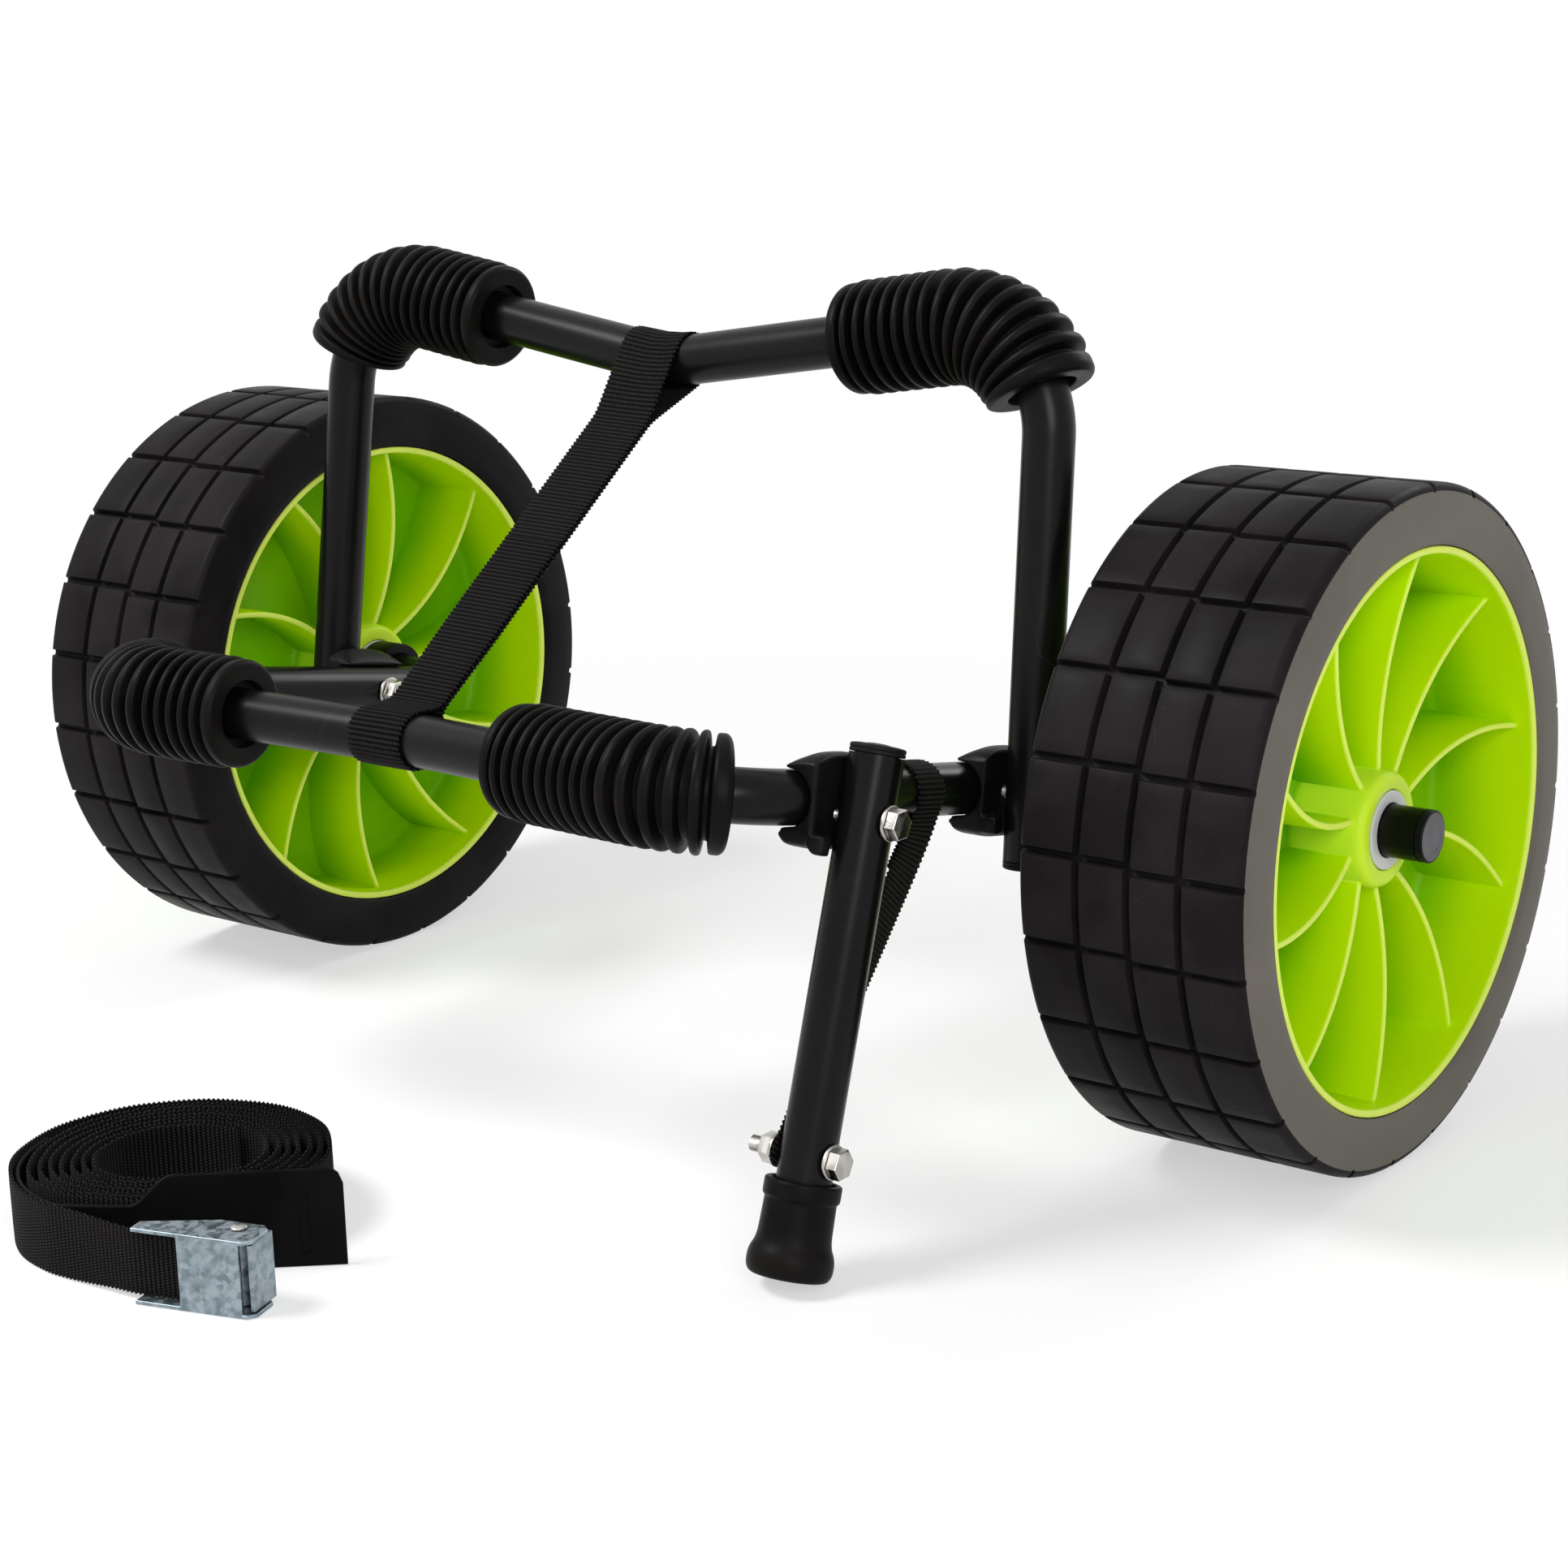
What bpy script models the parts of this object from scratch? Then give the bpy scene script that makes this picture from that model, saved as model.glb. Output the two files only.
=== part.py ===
"""Folding cart for a paddleboard: two tube hoops that cross, a kickstand, two wheels and a tie-down strap.

Metres, +Z up. The cart stands on z = 0, its front faces -Y and its axle runs along X. The origin is under
the middle of the whole object.
"""
from math import ceil, cos, hypot, pi, radians, sin, tan

import bmesh
import bpy
from mathutils import Matrix, Vector

# Clearances
GAP = 0.0003            # between two faces that touch
RUN = 0.0005            # along an axis, between a turning part and its neighbour
PIVOT_GAP = 0.0008      # between a swinging tube and the saddle beside it

# Tube of both hoops and of the kickstand
TUBE_R = 0.010
TUBE_WALL = 0.0015
BEND_R = 0.050          # corner bends, to the tube's centre line
CORNER_BEND_R = 0.040   # of the corners under the grips
DIP_BEND_R = 0.040      # shallow bend in the middle of each hoop
BEND_STEP = radians(15.1)

# Wheels
TYRE_R = 0.130
TYRE_T = 0.0232         # of the rubber, from the rim to the tread
TYRE_W = 0.093
TYRE_SHOULDER = 0.007
TREAD_DEPTH = 0.0035
TREAD_GROOVE = 0.0035
TREAD_COLUMNS = 4
RIM_INSET = 0.001       # of the rim's edge inside the tyre's side face
RIM_WALL = 0.003
RIM_DRAFT = 0.0015      # the drum is thicker at the web than at its edge
WEB_T = 0.004
HUB_R = 0.0222
HUB_W = 0.070
HUB_CHAMFER = 0.002
BLADES = 10
BLADE_T = 0.003
BLADE_ROOT = 0.0305     # half height of a blade at the hub
BLADE_TIP = 0.0388      # half height of a blade at the drum
BLADE_BOW = 0.0095
BLADE_LAG = 0.008       # of a blade's outer end behind its root's radius
BLADE_TURN = radians(3)
WHEEL_STEPS = 36
BUSHING_R = 0.0150
BUSHING_LEN = 0.022
BUSHING_PROUD = 0.0005
THRUST_T = 0.014        # long enough to keep the wheel clear of the bend
THRUST_R = 0.0150

# Axle hoop: the stub axles, the arms and the front bar
ARM_X = 0.162
ARM_RISE = radians(10.5)
ARM_LEN = 0.2275        # from the axle to the front corners
FRONT_DIP = 0.018
THRUST_SEAT = 0.0015    # straight tube between the bend and the thrust washer

# Cradle hoop: the legs and the top bar, pivoting on the arms
CROSSING = 0.070        # from the axle along the arm to the pivot
LEG_LEAN = radians(7.56)
LEG_TOE = 0.0277        # the legs come together by this much of their height
LEG_ABOVE = 0.1785
LEG_BELOW = 0.028
CRADLE_DIP = 0.0267
CRADLE_FOLD = radians(66)

# Kickstand
KICK_FROM_CORNER = 0.051    # from the front corners back along the arm to the pivot
KICK_DROP = 0.005       # its bolt crosses the arm this far under the arm's centre line
KICK_SLANT = radians(18.3)
KICK_ABOVE = 0.026
KICK_FOLD = radians(70)
FOOT_LEN = 0.034
FOOT_R = 0.0132
FOOT_LIP_R = 0.0138
FOOT_BASE_R = 0.0155
FOOT_EDGE_R = 0.014
FOOT_SOLE = 0.0055
FOOT_FLAT = 0.0008      # depth of the flat that the foot stands on

# Plugs in the open tube ends
PLUG_FLANGE = 0.003
PLUG_LEN = 0.003
PLUG_CHAMFER = 0.0008

# Saddles between two tubes
SADDLE_WEB = 0.0033     # between the arm and the tube beside it
SADDLE_LEN = 0.034
SADDLE_TOP = 0.017
SADDLE_BOTTOM = 0.0175
SADDLE_WING = 0.0015    # the wings reach this far past the arm's middle
SADDLE_WING_T = 0.0016
STOP_T = 0.006          # lobes that stop the swinging tube
STOP_W = 0.006
STOP_H = 0.007

# Ribbed grips
GRIP_R = 0.0220
GRIP_VALLEY_R = 0.0178
GRIP_COLLAR_R = 0.0213
GRIP_COLLAR = 0.005
GRIP_LIP = 0.0015
GRIP_STEP = 0.001
RIB_PITCH = 0.0060
RIBS = 14
FRONT_GRIP_LEFT = 0.079     # from the corner to the grip's inner end
FRONT_GRIP_RIGHT = 0.105
CRADLE_GRIP_LEFT = 0.088
CRADLE_GRIP_RIGHT = 0.091

# Bolts, nuts and washers
BOLT_R = 0.003
BOLT_HEAD_R = 0.0058
BOLT_HEAD_T = 0.004
NUT_R = 0.0058
NUT_T = 0.005
WASHER_R = 0.0064
WASHER_T = 0.0012
BOLT_END = 0.0015       # of the pivot bolts past their nuts
STAY_BOLT_END = 0.006
STAY_BOLT_UP = 0.0425   # from the kickstand's foot, along the tube

# Snap buttons that keep the wheels on
BUTTON_R = 0.003
BUTTON_OUT = 0.004
BUTTON_FLANGE_R = 0.0036
BUTTON_FLANGE_T = 0.0013
BUTTON_SINK = 0.0036    # of the flange under the tube's outer face
BUTTON_ROOM = 0.004     # free axle between the wheel and its button
AXLE_PAST_BUTTON = 0.0105
LEAF_T = 0.0006
LEAF_W = 0.005
LEAF_LEN = 0.016

# Webbing
WEBBING_W = 0.025
WEBBING_T = 0.0015
STAY_BEHIND_KICK = 0.058    # from the kickstand's pivot back along the arm to the stay's loop
STAY_END_W = 0.012      # of the stay's lower end, where its edges are folded in
STAY_PAST_BOLT = 0.005
STAY_TAPER = 0.045
SPREAD_LOW_ASIDE = 0.011    # of the spread strap's lower end, to the left of the front bar's middle
SPREAD_TOP_ASIDE = 0.004

# Tie-down strap, coiled on its edge beside the cart
COIL_X = -0.037
COIL_AHEAD = 0.305
COIL_R = 0.061
COIL_PITCH = 0.0039
COIL_TURNS = 7.5
COIL_SQUEEZE = 0.18     # the coil is flatter where the pad presses on it
TONGUE_ROOM = 0.0025
LOOP_POINTS = 24
PAD_T = 0.0018
PAD_H = 0.037
PAD_TONGUE_H = 0.026
PAD_LEN = 0.076
PAD_NECK_DIR = radians(297.6)
PAD_NECK_R = 0.0496
PAD_DIR = radians(41.3)

# Cam buckle of the tie-down strap
BUCKLE_X = 0.024
BUCKLE_AHEAD = 0.360
BUCKLE_TURN = radians(17)
BUCKLE_SHEET = 0.0015
BUCKLE_FRONT_LEN = 0.0245
BUCKLE_NOSE = 0.018
BUCKLE_TAIL = 0.029
BUCKLE_DEEP = 0.015
BUCKLE_LIFT = 0.0018    # of the webbing over the floor inside the buckle
WEBBING_ROOM = 0.002
PIN_R = 0.0018
PIN_HEAD_R = 0.003
PIN_HEAD_T = 0.0012
PIN_U = 0.019
CAM_R = 0.0056
THUMB_DEEP = 0.016
THUMB_GAP = 0.0022
SPRING_R = 0.003
SPRING_WIRE_R = 0.0004
SPRING_TURNS = 3
SPRING_POINTS = 8
SPRING_POCKET_R = 0.0041
SPRING_POCKET = 0.007

# Places that follow from the sizes
X = Vector((1, 0, 0))
Y = Vector((0, 1, 0))
Z = Vector((0, 0, 1))
COIL_REACH = COIL_AHEAD + COIL_R + WEBBING_T / 2
AXLE_Y = (COIL_REACH - TYRE_R) / 2
AXLE = Vector((0, AXLE_Y, TYRE_R))
ARM_DIR = Vector((0, -cos(ARM_RISE), sin(ARM_RISE)))
ARM_UP = Vector((0, sin(ARM_RISE), cos(ARM_RISE)))
LEG_DIR = Vector((0, sin(LEG_LEAN), cos(LEG_LEAN)))
KICK_DIR = Vector((0, sin(KICK_SLANT), cos(KICK_SLANT)))
SIDE_X = ARM_X + 2 * TUBE_R + SADDLE_WEB
SADDLE_FACE = SIDE_X - TUBE_R - PIVOT_GAP
BORE_R = TUBE_R - TUBE_WALL
RIM_R = TYRE_R - TYRE_T
THRUST_X = ARM_X + BEND_R + THRUST_SEAT
HUB_X = THRUST_X + THRUST_T + RUN + BUSHING_PROUD
WHEEL_X = HUB_X + HUB_W / 2
BUTTON_X = HUB_X + HUB_W + BUSHING_PROUD + BUTTON_ROOM + BUTTON_R
AXLE_HALF = BUTTON_X + AXLE_PAST_BUTTON
CRADLE_PIVOT = AXLE + ARM_DIR * CROSSING
KICK_FROM_AXLE = ARM_LEN - KICK_FROM_CORNER
STAY_ARM = KICK_FROM_AXLE - STAY_BEHIND_KICK
KICK_PIVOT = AXLE + ARM_DIR * KICK_FROM_AXLE - ARM_UP * KICK_DROP
FOOT_RISE = FOOT_EDGE_R * sin(KICK_SLANT) - FOOT_FLAT
KICK_LEN = (KICK_PIVOT.z - FOOT_RISE) / cos(KICK_SLANT)
STAY_BOLT = KICK_PIVOT - KICK_DIR * (KICK_LEN - STAY_BOLT_UP)
COIL = Vector((COIL_X, AXLE_Y - COIL_AHEAD, 0))
BUCKLE = Vector((BUCKLE_X, AXLE_Y - BUCKLE_AHEAD, 0))
BUCKLE_U = Vector((cos(BUCKLE_TURN), sin(BUCKLE_TURN), 0))
BUCKLE_W = Vector((-sin(BUCKLE_TURN), cos(BUCKLE_TURN), 0))

SIDES = {"left": -1, "right": 1}


for old in list(bpy.data.objects):
    bpy.data.objects.remove(old, do_unlink=True)

parts = bpy.data.collections.new("paddleboard_cart")
cutters = bpy.data.collections.new("cutters")
bpy.context.scene.collection.children.link(parts)
bpy.context.scene.collection.children.link(cutters)


def material(name, color, roughness, metallic=0.0):
    made = bpy.data.materials.new(name)
    made.use_nodes = True
    shader = made.node_tree.nodes["Principled BSDF"]
    shader.inputs["Base Color"].default_value = (*color, 1)
    shader.inputs["Roughness"].default_value = roughness
    shader.inputs["Metallic"].default_value = metallic
    return made


BLACK_TUBE = material("black_tube", (0.012, 0.012, 0.014), 0.35, 0.3)
BLACK_PLASTIC = material("black_plastic", (0.010, 0.010, 0.011), 0.5)
GREY_PLUG = material("grey_plug", (0.10, 0.10, 0.105), 0.6)
GRIP_RUBBER = material("grip_rubber", (0.014, 0.013, 0.012), 0.6)
TYRE_RUBBER = material("tyre_rubber", (0.022, 0.020, 0.024), 0.6)
LIME_PLASTIC = material("lime_plastic", (0.45, 0.72, 0.01), 0.4)
PALE_PLASTIC = material("pale_plastic", (0.62, 0.63, 0.62), 0.45)
STEEL = material("steel", (0.60, 0.58, 0.55), 0.3, 1.0)
ZINC = material("zinc", (0.62, 0.68, 0.72), 0.35, 1.0)
WEBBING = material("webbing", (0.010, 0.010, 0.010), 0.9)
PAD_RUBBER = material("pad_rubber", (0.012, 0.012, 0.014), 0.55)


def add(name, mesh, finish):
    """A part with this mesh or, without a finish, a hidden helper for a Boolean."""
    made = bpy.data.objects.new(name, mesh)
    if finish is None:
        cutters.objects.link(made)
        made.hide_render = True
        made.display_type = "WIRE"
        return made
    parts.objects.link(made)
    mesh.materials.append(finish)
    mesh.shade_smooth()
    mesh.set_sharp_from_angle(angle=radians(38))
    return made


def mesh_of(name, bm):
    mesh = bpy.data.meshes.new(name)
    bm.to_mesh(mesh)
    bm.free()
    return mesh


def mesh_from_curve(name, curve, place=None):
    """The curve as a welded mesh with its normals out."""
    guide = bpy.data.objects.new(name, curve)
    cutters.objects.link(guide)
    bpy.context.view_layer.update()
    seen = guide.evaluated_get(bpy.context.evaluated_depsgraph_get())
    mesh = bpy.data.meshes.new_from_object(seen)
    mesh.name = name
    bpy.data.objects.remove(guide, do_unlink=True)
    bm = bmesh.new()
    bm.from_mesh(mesh)
    bmesh.ops.remove_doubles(bm, verts=bm.verts, dist=0.00001)
    if place:
        bmesh.ops.transform(bm, matrix=place, verts=bm.verts)
    bmesh.ops.recalc_face_normals(bm, faces=bm.faces)
    bm.to_mesh(mesh)
    bm.free()
    mesh.materials.clear()
    return mesh


def tube(name, path, radius, finish=None, round_steps=4, scales=None):
    """A round bar along a path. Scales give each point its own share of the radius."""
    curve = bpy.data.curves.new(name, "CURVE")
    curve.dimensions = "3D"
    curve.bevel_depth = radius
    curve.bevel_resolution = round_steps
    curve.use_fill_caps = True
    spline = curve.splines.new("POLY")
    spline.points.add(len(path) - 1)
    for i, point in enumerate(path):
        spline.points[i].co = (*point, 1)
        spline.points[i].radius = scales[i] if scales else 1
    return add(name, mesh_from_curve(name, curve), finish)


def prism(name, outline, depth, place, finish=None):
    """A flat outline, extruded by half the depth to both sides of its plane."""
    curve = bpy.data.curves.new(name, "CURVE")
    curve.dimensions = "2D"
    curve.fill_mode = "BOTH"
    curve.extrude = depth / 2
    spline = curve.splines.new("POLY")
    spline.use_cyclic_u = True
    spline.points.add(len(outline) - 1)
    for i, (x, y) in enumerate(outline):
        spline.points[i].co = (x, y, 0, 1)
    return add(name, mesh_from_curve(name, curve, place), finish)


def turned(name, profile, steps, place, finish=None, ring=True):
    """A profile of (radius, height) points turned round the place's Z axis, down its outer side."""
    bm = bmesh.new()
    points = [bm.verts.new((r, 0, h)) for r, h in profile]
    for a, b in zip(points, points[1:]):
        bm.edges.new((a, b))
    if ring:
        bm.edges.new((points[-1], points[0]))
    made = add(name, mesh_of(name, bm), finish)
    made.matrix_world = place
    screw = made.modifiers.new("turn", "SCREW")
    screw.axis = "Z"
    screw.angle = 2 * pi
    screw.steps = steps
    screw.render_steps = steps
    screw.use_merge_vertices = True
    screw.merge_threshold = 0.00001
    return made


def block(name, size, place, finish=None):
    bm = bmesh.new()
    bmesh.ops.create_cube(bm, size=1, matrix=place @ Matrix.Diagonal((*size, 1)))
    return add(name, mesh_of(name, bm), finish)


def ribbon(name, path, spans, thickness, finish):
    """Webbing that stands on its edge along a path in plan, from a low to a high edge at each point."""
    last = len(path) - 1
    bm = bmesh.new()
    bmesh.ops.create_grid(bm, x_segments=last, y_segments=1, size=1)
    for vert in bm.verts:
        i = round((vert.co.x + 1) / 2 * last)
        low, high = spans[i]
        vert.co = (path[i].x, path[i].y, high if vert.co.y > 0 else low)
    made = add(name, mesh_of(name, bm), finish)
    solid = made.modifiers.new("thickness", "SOLIDIFY")
    solid.thickness = thickness
    solid.offset = 0
    return made


def boolean(made, operation, others):
    for other in others:
        change = made.modifiers.new(other.name, "BOOLEAN")
        change.operation = operation
        change.solver = "EXACT"
        change.object = other
    return made


def cut(made, *tools):
    return boolean(made, "DIFFERENCE", tools)


def join(made, *pieces):
    return boolean(made, "UNION", pieces)


def along(direction, point, across=None):
    """The place whose Z axis points in a direction from a point."""
    z = direction.normalized()
    x = (across or (Z if abs(z.z) < 0.9 else X)).normalized()
    x = (x - z * x.dot(z)).normalized()
    y = z.cross(x)
    return Matrix.Translation(point) @ Matrix((x, y, z)).transposed().to_4x4()


def hole_r(radius, steps):
    """The corner radius of a round hole whose flats still clear this radius."""
    return radius / cos(pi / steps)


def shaft_profile(radius, low, high):
    return [(0, high), (radius, high), (radius, low), (0, low)]


def ring_profile(outer, inner, low, high):
    return [(outer, high), (outer, low), (inner, low), (inner, high)]


HOLE_STEPS = 12


def bolt_hole(name, x_low, x_high, at):
    """A cutter along X for a bolt through a point."""
    place = along(X, Vector((0, at.y, at.z)))
    profile = shaft_profile(hole_r(BOLT_R + GAP, HOLE_STEPS), x_low, x_high)
    return turned(name, profile, HOLE_STEPS, place, ring=False)


def rounded(corners):
    """The points of a path through (corner, bend radius) pairs, with an arc at each bend."""
    points = [corners[0][0]]
    for (before, _), (corner, radius), (after, _) in zip(corners, corners[1:], corners[2:]):
        arrive = (corner - before).normalized()
        leave = (after - corner).normalized()
        turn = arrive.angle(leave)
        start = corner - arrive * radius * tan(turn / 2)
        inward = (leave - arrive * cos(turn)) / sin(turn)
        steps = max(2, ceil(turn / BEND_STEP))
        for i in range(steps + 1):
            a = turn * i / steps
            points.append(start + arrive * radius * sin(a) + inward * radius * (1 - cos(a)))
    points.append(corners[-1][0])
    return points


def stretch(path, start, end, also=()):
    """The points of a path between two distances along it, and at the named distances between them."""
    marks = [0.0]
    for a, b in zip(path, path[1:]):
        marks.append(marks[-1] + (b - a).length)
    wanted = [start, end, *also] if also else [start, *[m for m in marks if start < m < end], end]
    points = []
    for wish in sorted(wanted):
        i = max(j for j in range(len(marks) - 1) if marks[j] <= wish or j == 0)
        share = (wish - marks[i]) / (marks[i + 1] - marks[i])
        points.append(path[i].lerp(path[i + 1], share))
    return points


def halves(path):
    """The two halves of a hoop, each from its middle outward."""
    middle = len(path) // 2
    return {"left": path[middle::-1], "right": path[middle:]}


# Paths of the tubes
def arm_point(x, ahead, up=0.0):
    return AXLE + X * x + ARM_DIR * ahead + ARM_UP * up


def leg_point(side, up):
    return CRADLE_PIVOT + X * side * (SIDE_X - LEG_TOE * up) + LEG_DIR * up


AXLE_END = AXLE_HALF - PLUG_FLANGE - GAP
LEG_END = LEG_BELOW - PLUG_FLANGE - GAP
axle_path = rounded([
    (arm_point(-AXLE_END, 0), 0),
    (arm_point(-ARM_X, 0), BEND_R),
    (arm_point(-ARM_X, ARM_LEN), CORNER_BEND_R),
    (arm_point(0, ARM_LEN - FRONT_DIP), DIP_BEND_R),
    (arm_point(ARM_X, ARM_LEN), CORNER_BEND_R),
    (arm_point(ARM_X, 0), BEND_R),
    (arm_point(AXLE_END, 0), 0),
])
cradle_path = rounded([
    (leg_point(-1, -LEG_END), 0),
    (leg_point(-1, LEG_ABOVE), CORNER_BEND_R),
    (CRADLE_PIVOT + LEG_DIR * (LEG_ABOVE - CRADLE_DIP), DIP_BEND_R),
    (leg_point(1, LEG_ABOVE), CORNER_BEND_R),
    (leg_point(1, -LEG_END), 0),
])
axle_halves = halves(axle_path)
cradle_halves = halves(cradle_path)
KICK_X = X * SIDE_X
kick_top = KICK_PIVOT + KICK_X + KICK_DIR * (KICK_ABOVE - PLUG_FLANGE - GAP)
kick_bottom = KICK_PIVOT + KICK_X - KICK_DIR * (KICK_LEN - FOOT_SOLE - GAP)
PAST = 0.001            # of a cutter past the face that it cuts


def longer(path, by=PAST):
    """The path with both ends pushed out, for a cutter."""
    first = path[0] + (path[0] - path[1]).normalized() * by
    last = path[-1] + (path[-1] - path[-2]).normalized() * by
    return [first, *path[1:-1], last]


# Hoops
def button_hole(side):
    place = along(Y, AXLE + X * side * BUTTON_X)
    radius = hole_r(BUTTON_R + GAP, HOLE_STEPS)
    profile = shaft_profile(radius, 0, TUBE_R + PAST)
    return turned(f"button_hole_{side}", profile, HOLE_STEPS, place, ring=False)


cradle_holes = {
    tag: bolt_hole(
        f"cradle_hole_{tag}",
        *sorted((side * (ARM_X - 2 * TUBE_R), side * (SIDE_X + 2 * TUBE_R))),
        CRADLE_PIVOT,
    )
    for tag, side in SIDES.items()
}
kick_hole = bolt_hole("kick_hole", ARM_X - 2 * TUBE_R, SIDE_X + 2 * TUBE_R, KICK_PIVOT)
stay_hole = bolt_hole("stay_hole", ARM_X - TUBE_R, SIDE_X + 2 * TUBE_R, STAY_BOLT)

axle_hoop = tube("axle_hoop", axle_path, TUBE_R, BLACK_TUBE)
cut(axle_hoop, tube("axle_bore", longer(axle_path), BORE_R, round_steps=2), *cradle_holes.values(), kick_hole)
cut(axle_hoop, button_hole(-1), button_hole(1))
cradle_hoop = tube("cradle_hoop", cradle_path, TUBE_R, BLACK_TUBE)
cut(cradle_hoop, tube("cradle_bore", longer(cradle_path), BORE_R, round_steps=2), *cradle_holes.values())
kick_path = [kick_top, kick_bottom]
kickstand_tube = tube("kickstand_tube", kick_path, TUBE_R, BLACK_TUBE)
cut(kickstand_tube, tube("kick_bore", longer(kick_path), BORE_R, round_steps=2), kick_hole, stay_hole)


# Plugs
PLUG_R = BORE_R * cos(pi / 8) - GAP


def plug(name, end, outward, finish):
    """A plug whose flange covers a tube's end."""
    base = GAP
    top = GAP + PLUG_FLANGE
    profile = [
        (0, top),
        (TUBE_R - PLUG_CHAMFER, top),
        (TUBE_R, top - PLUG_CHAMFER),
        (TUBE_R, base),
        (PLUG_R, base),
        (PLUG_R, base - PLUG_LEN),
        (0, base - PLUG_LEN),
    ]
    return turned(name, profile, HOLE_STEPS, along(outward, end), finish, ring=False)


axle_plugs = [
    plug(f"axle_plug_{tag}", arm_point(side * AXLE_END, 0), X * side, GREY_PLUG)
    for tag, side in SIDES.items()
]
leg_caps = [
    plug(
        f"leg_cap_{tag}",
        cradle_halves[tag][-1],
        cradle_halves[tag][-1] - cradle_halves[tag][-2],
        BLACK_PLASTIC,
    )
    for tag in SIDES
]
kickstand_cap = plug("kickstand_cap", kick_top, KICK_DIR, BLACK_PLASTIC)


# Ribbed grips
def grip_rings():
    """The distance from the grip's end and the radius of each ring: a collar, the ribs and a collar."""
    first = GRIP_COLLAR + GRIP_STEP
    collar = [(0, GRIP_COLLAR_R - GRIP_LIP), (GRIP_LIP, GRIP_COLLAR_R), (GRIP_COLLAR, GRIP_COLLAR_R)]
    rings = list(collar)
    for i in range(RIBS):
        rings.append((first + i * RIB_PITCH, GRIP_VALLEY_R))
        rings.append((first + (i + 0.5) * RIB_PITCH, GRIP_R))
    rings.append((first + RIBS * RIB_PITCH, GRIP_VALLEY_R))
    total = 2 * first + RIBS * RIB_PITCH
    rings += [(total - s, radius) for s, radius in reversed(collar)]
    return rings, total


GRIP_BORE_R = hole_r(TUBE_R + GAP, 12)


def grip(name, half, start):
    """A grip on half a hoop, from a distance off its middle outward."""
    rings, length = grip_rings()
    path = stretch(half, start + rings[0][0], start + length, [start + s for s, _ in rings[1:-1]])
    made = tube(name, path, GRIP_R, GRIP_RUBBER, 2, [radius / GRIP_R for _, radius in rings])
    return cut(made, tube(f"{name}_bore", longer(stretch(half, start, start + length)), GRIP_BORE_R))


front_half = hypot(ARM_X, FRONT_DIP)
top_half = hypot(SIDE_X - LEG_TOE * LEG_ABOVE, CRADLE_DIP)
front_grips = [
    grip("front_grip_left", axle_halves["left"], front_half - FRONT_GRIP_LEFT),
    grip("front_grip_right", axle_halves["right"], front_half - FRONT_GRIP_RIGHT),
]
cradle_grips = [
    grip("cradle_grip_left", cradle_halves["left"], top_half - CRADLE_GRIP_LEFT),
    grip("cradle_grip_right", cradle_halves["right"], top_half - CRADLE_GRIP_RIGHT),
]


# Saddles
SEAT_STEPS = 10
SEAT_TURN = radians(98)


def saddle_outline(side):
    """The block's section across the arm, with a seat more than half round."""
    face = SADDLE_FACE - ARM_X
    seat_r = (TUBE_R + GAP) / cos(SEAT_TURN / SEAT_STEPS)
    turns = [SEAT_TURN * (2 * i / SEAT_STEPS - 1) for i in range(SEAT_STEPS + 1)]
    seat = [(seat_r * cos(a), seat_r * sin(a)) for a in turns]
    wing = TUBE_R + GAP + SADDLE_WING_T
    outer = [
        (-SADDLE_WING, wing),
        (SADDLE_WING, wing + 0.55 * (SADDLE_TOP - wing)),
        (0.5 * face, SADDLE_TOP),
        (face - SADDLE_WING_T, SADDLE_TOP),
        (face, SADDLE_TOP - SADDLE_WING_T),
        (face, -SADDLE_BOTTOM + SADDLE_WING_T),
        (face - SADDLE_WING_T, -SADDLE_BOTTOM),
        (0, -SADDLE_BOTTOM),
        (-2 * SADDLE_WING, -wing - SADDLE_WING),
        (-SADDLE_WING, -wing),
    ]
    return [(side * (ARM_X + x), y) for x, y in seat + outer]


def stop(name, side, pivot, tube_up, ahead, down, fold):
    """A lobe beside the swinging tube, in a corner that the tube doesn't sweep."""
    near = TUBE_R + GAP + GAP
    start = near * tan(fold / 2) + PIVOT_GAP
    front = X.cross(tube_up)
    middle = pivot - tube_up * down * (start + STOP_H / 2) + front * ahead * (near + STOP_W / 2)
    middle += X * side * (SADDLE_FACE + (STOP_T - WEBBING_T) / 2)
    place = Matrix.Translation(middle) @ Matrix((X, tube_up, front)).transposed().to_4x4()
    return block(name, (STOP_T + WEBBING_T, STOP_H, STOP_W), place)


def saddle(name, side, ahead, pivot, tube_up, fold, hole):
    """A block on the arm that carries a swinging tube beside it."""
    place = Matrix.Translation(AXLE + ARM_DIR * ahead) @ Matrix((X, ARM_UP, ARM_DIR)).transposed().to_4x4()
    made = prism(name, saddle_outline(side), SADDLE_LEN, place, BLACK_PLASTIC)
    front_stop = stop(f"{name}_front_stop", side, pivot, tube_up, 1, 1, fold)
    back_stop = stop(f"{name}_back_stop", side, pivot, tube_up, -1, -1, fold)
    return cut(join(made, front_stop, back_stop), hole)


arm_saddles = [
    saddle(f"arm_saddle_{tag}", side, CROSSING, CRADLE_PIVOT, LEG_DIR, CRADLE_FOLD, cradle_holes[tag])
    for tag, side in SIDES.items()
]
kickstand_saddle = saddle("kickstand_saddle", 1, KICK_FROM_AXLE, KICK_PIVOT, KICK_DIR, KICK_FOLD, kick_hole)


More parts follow.
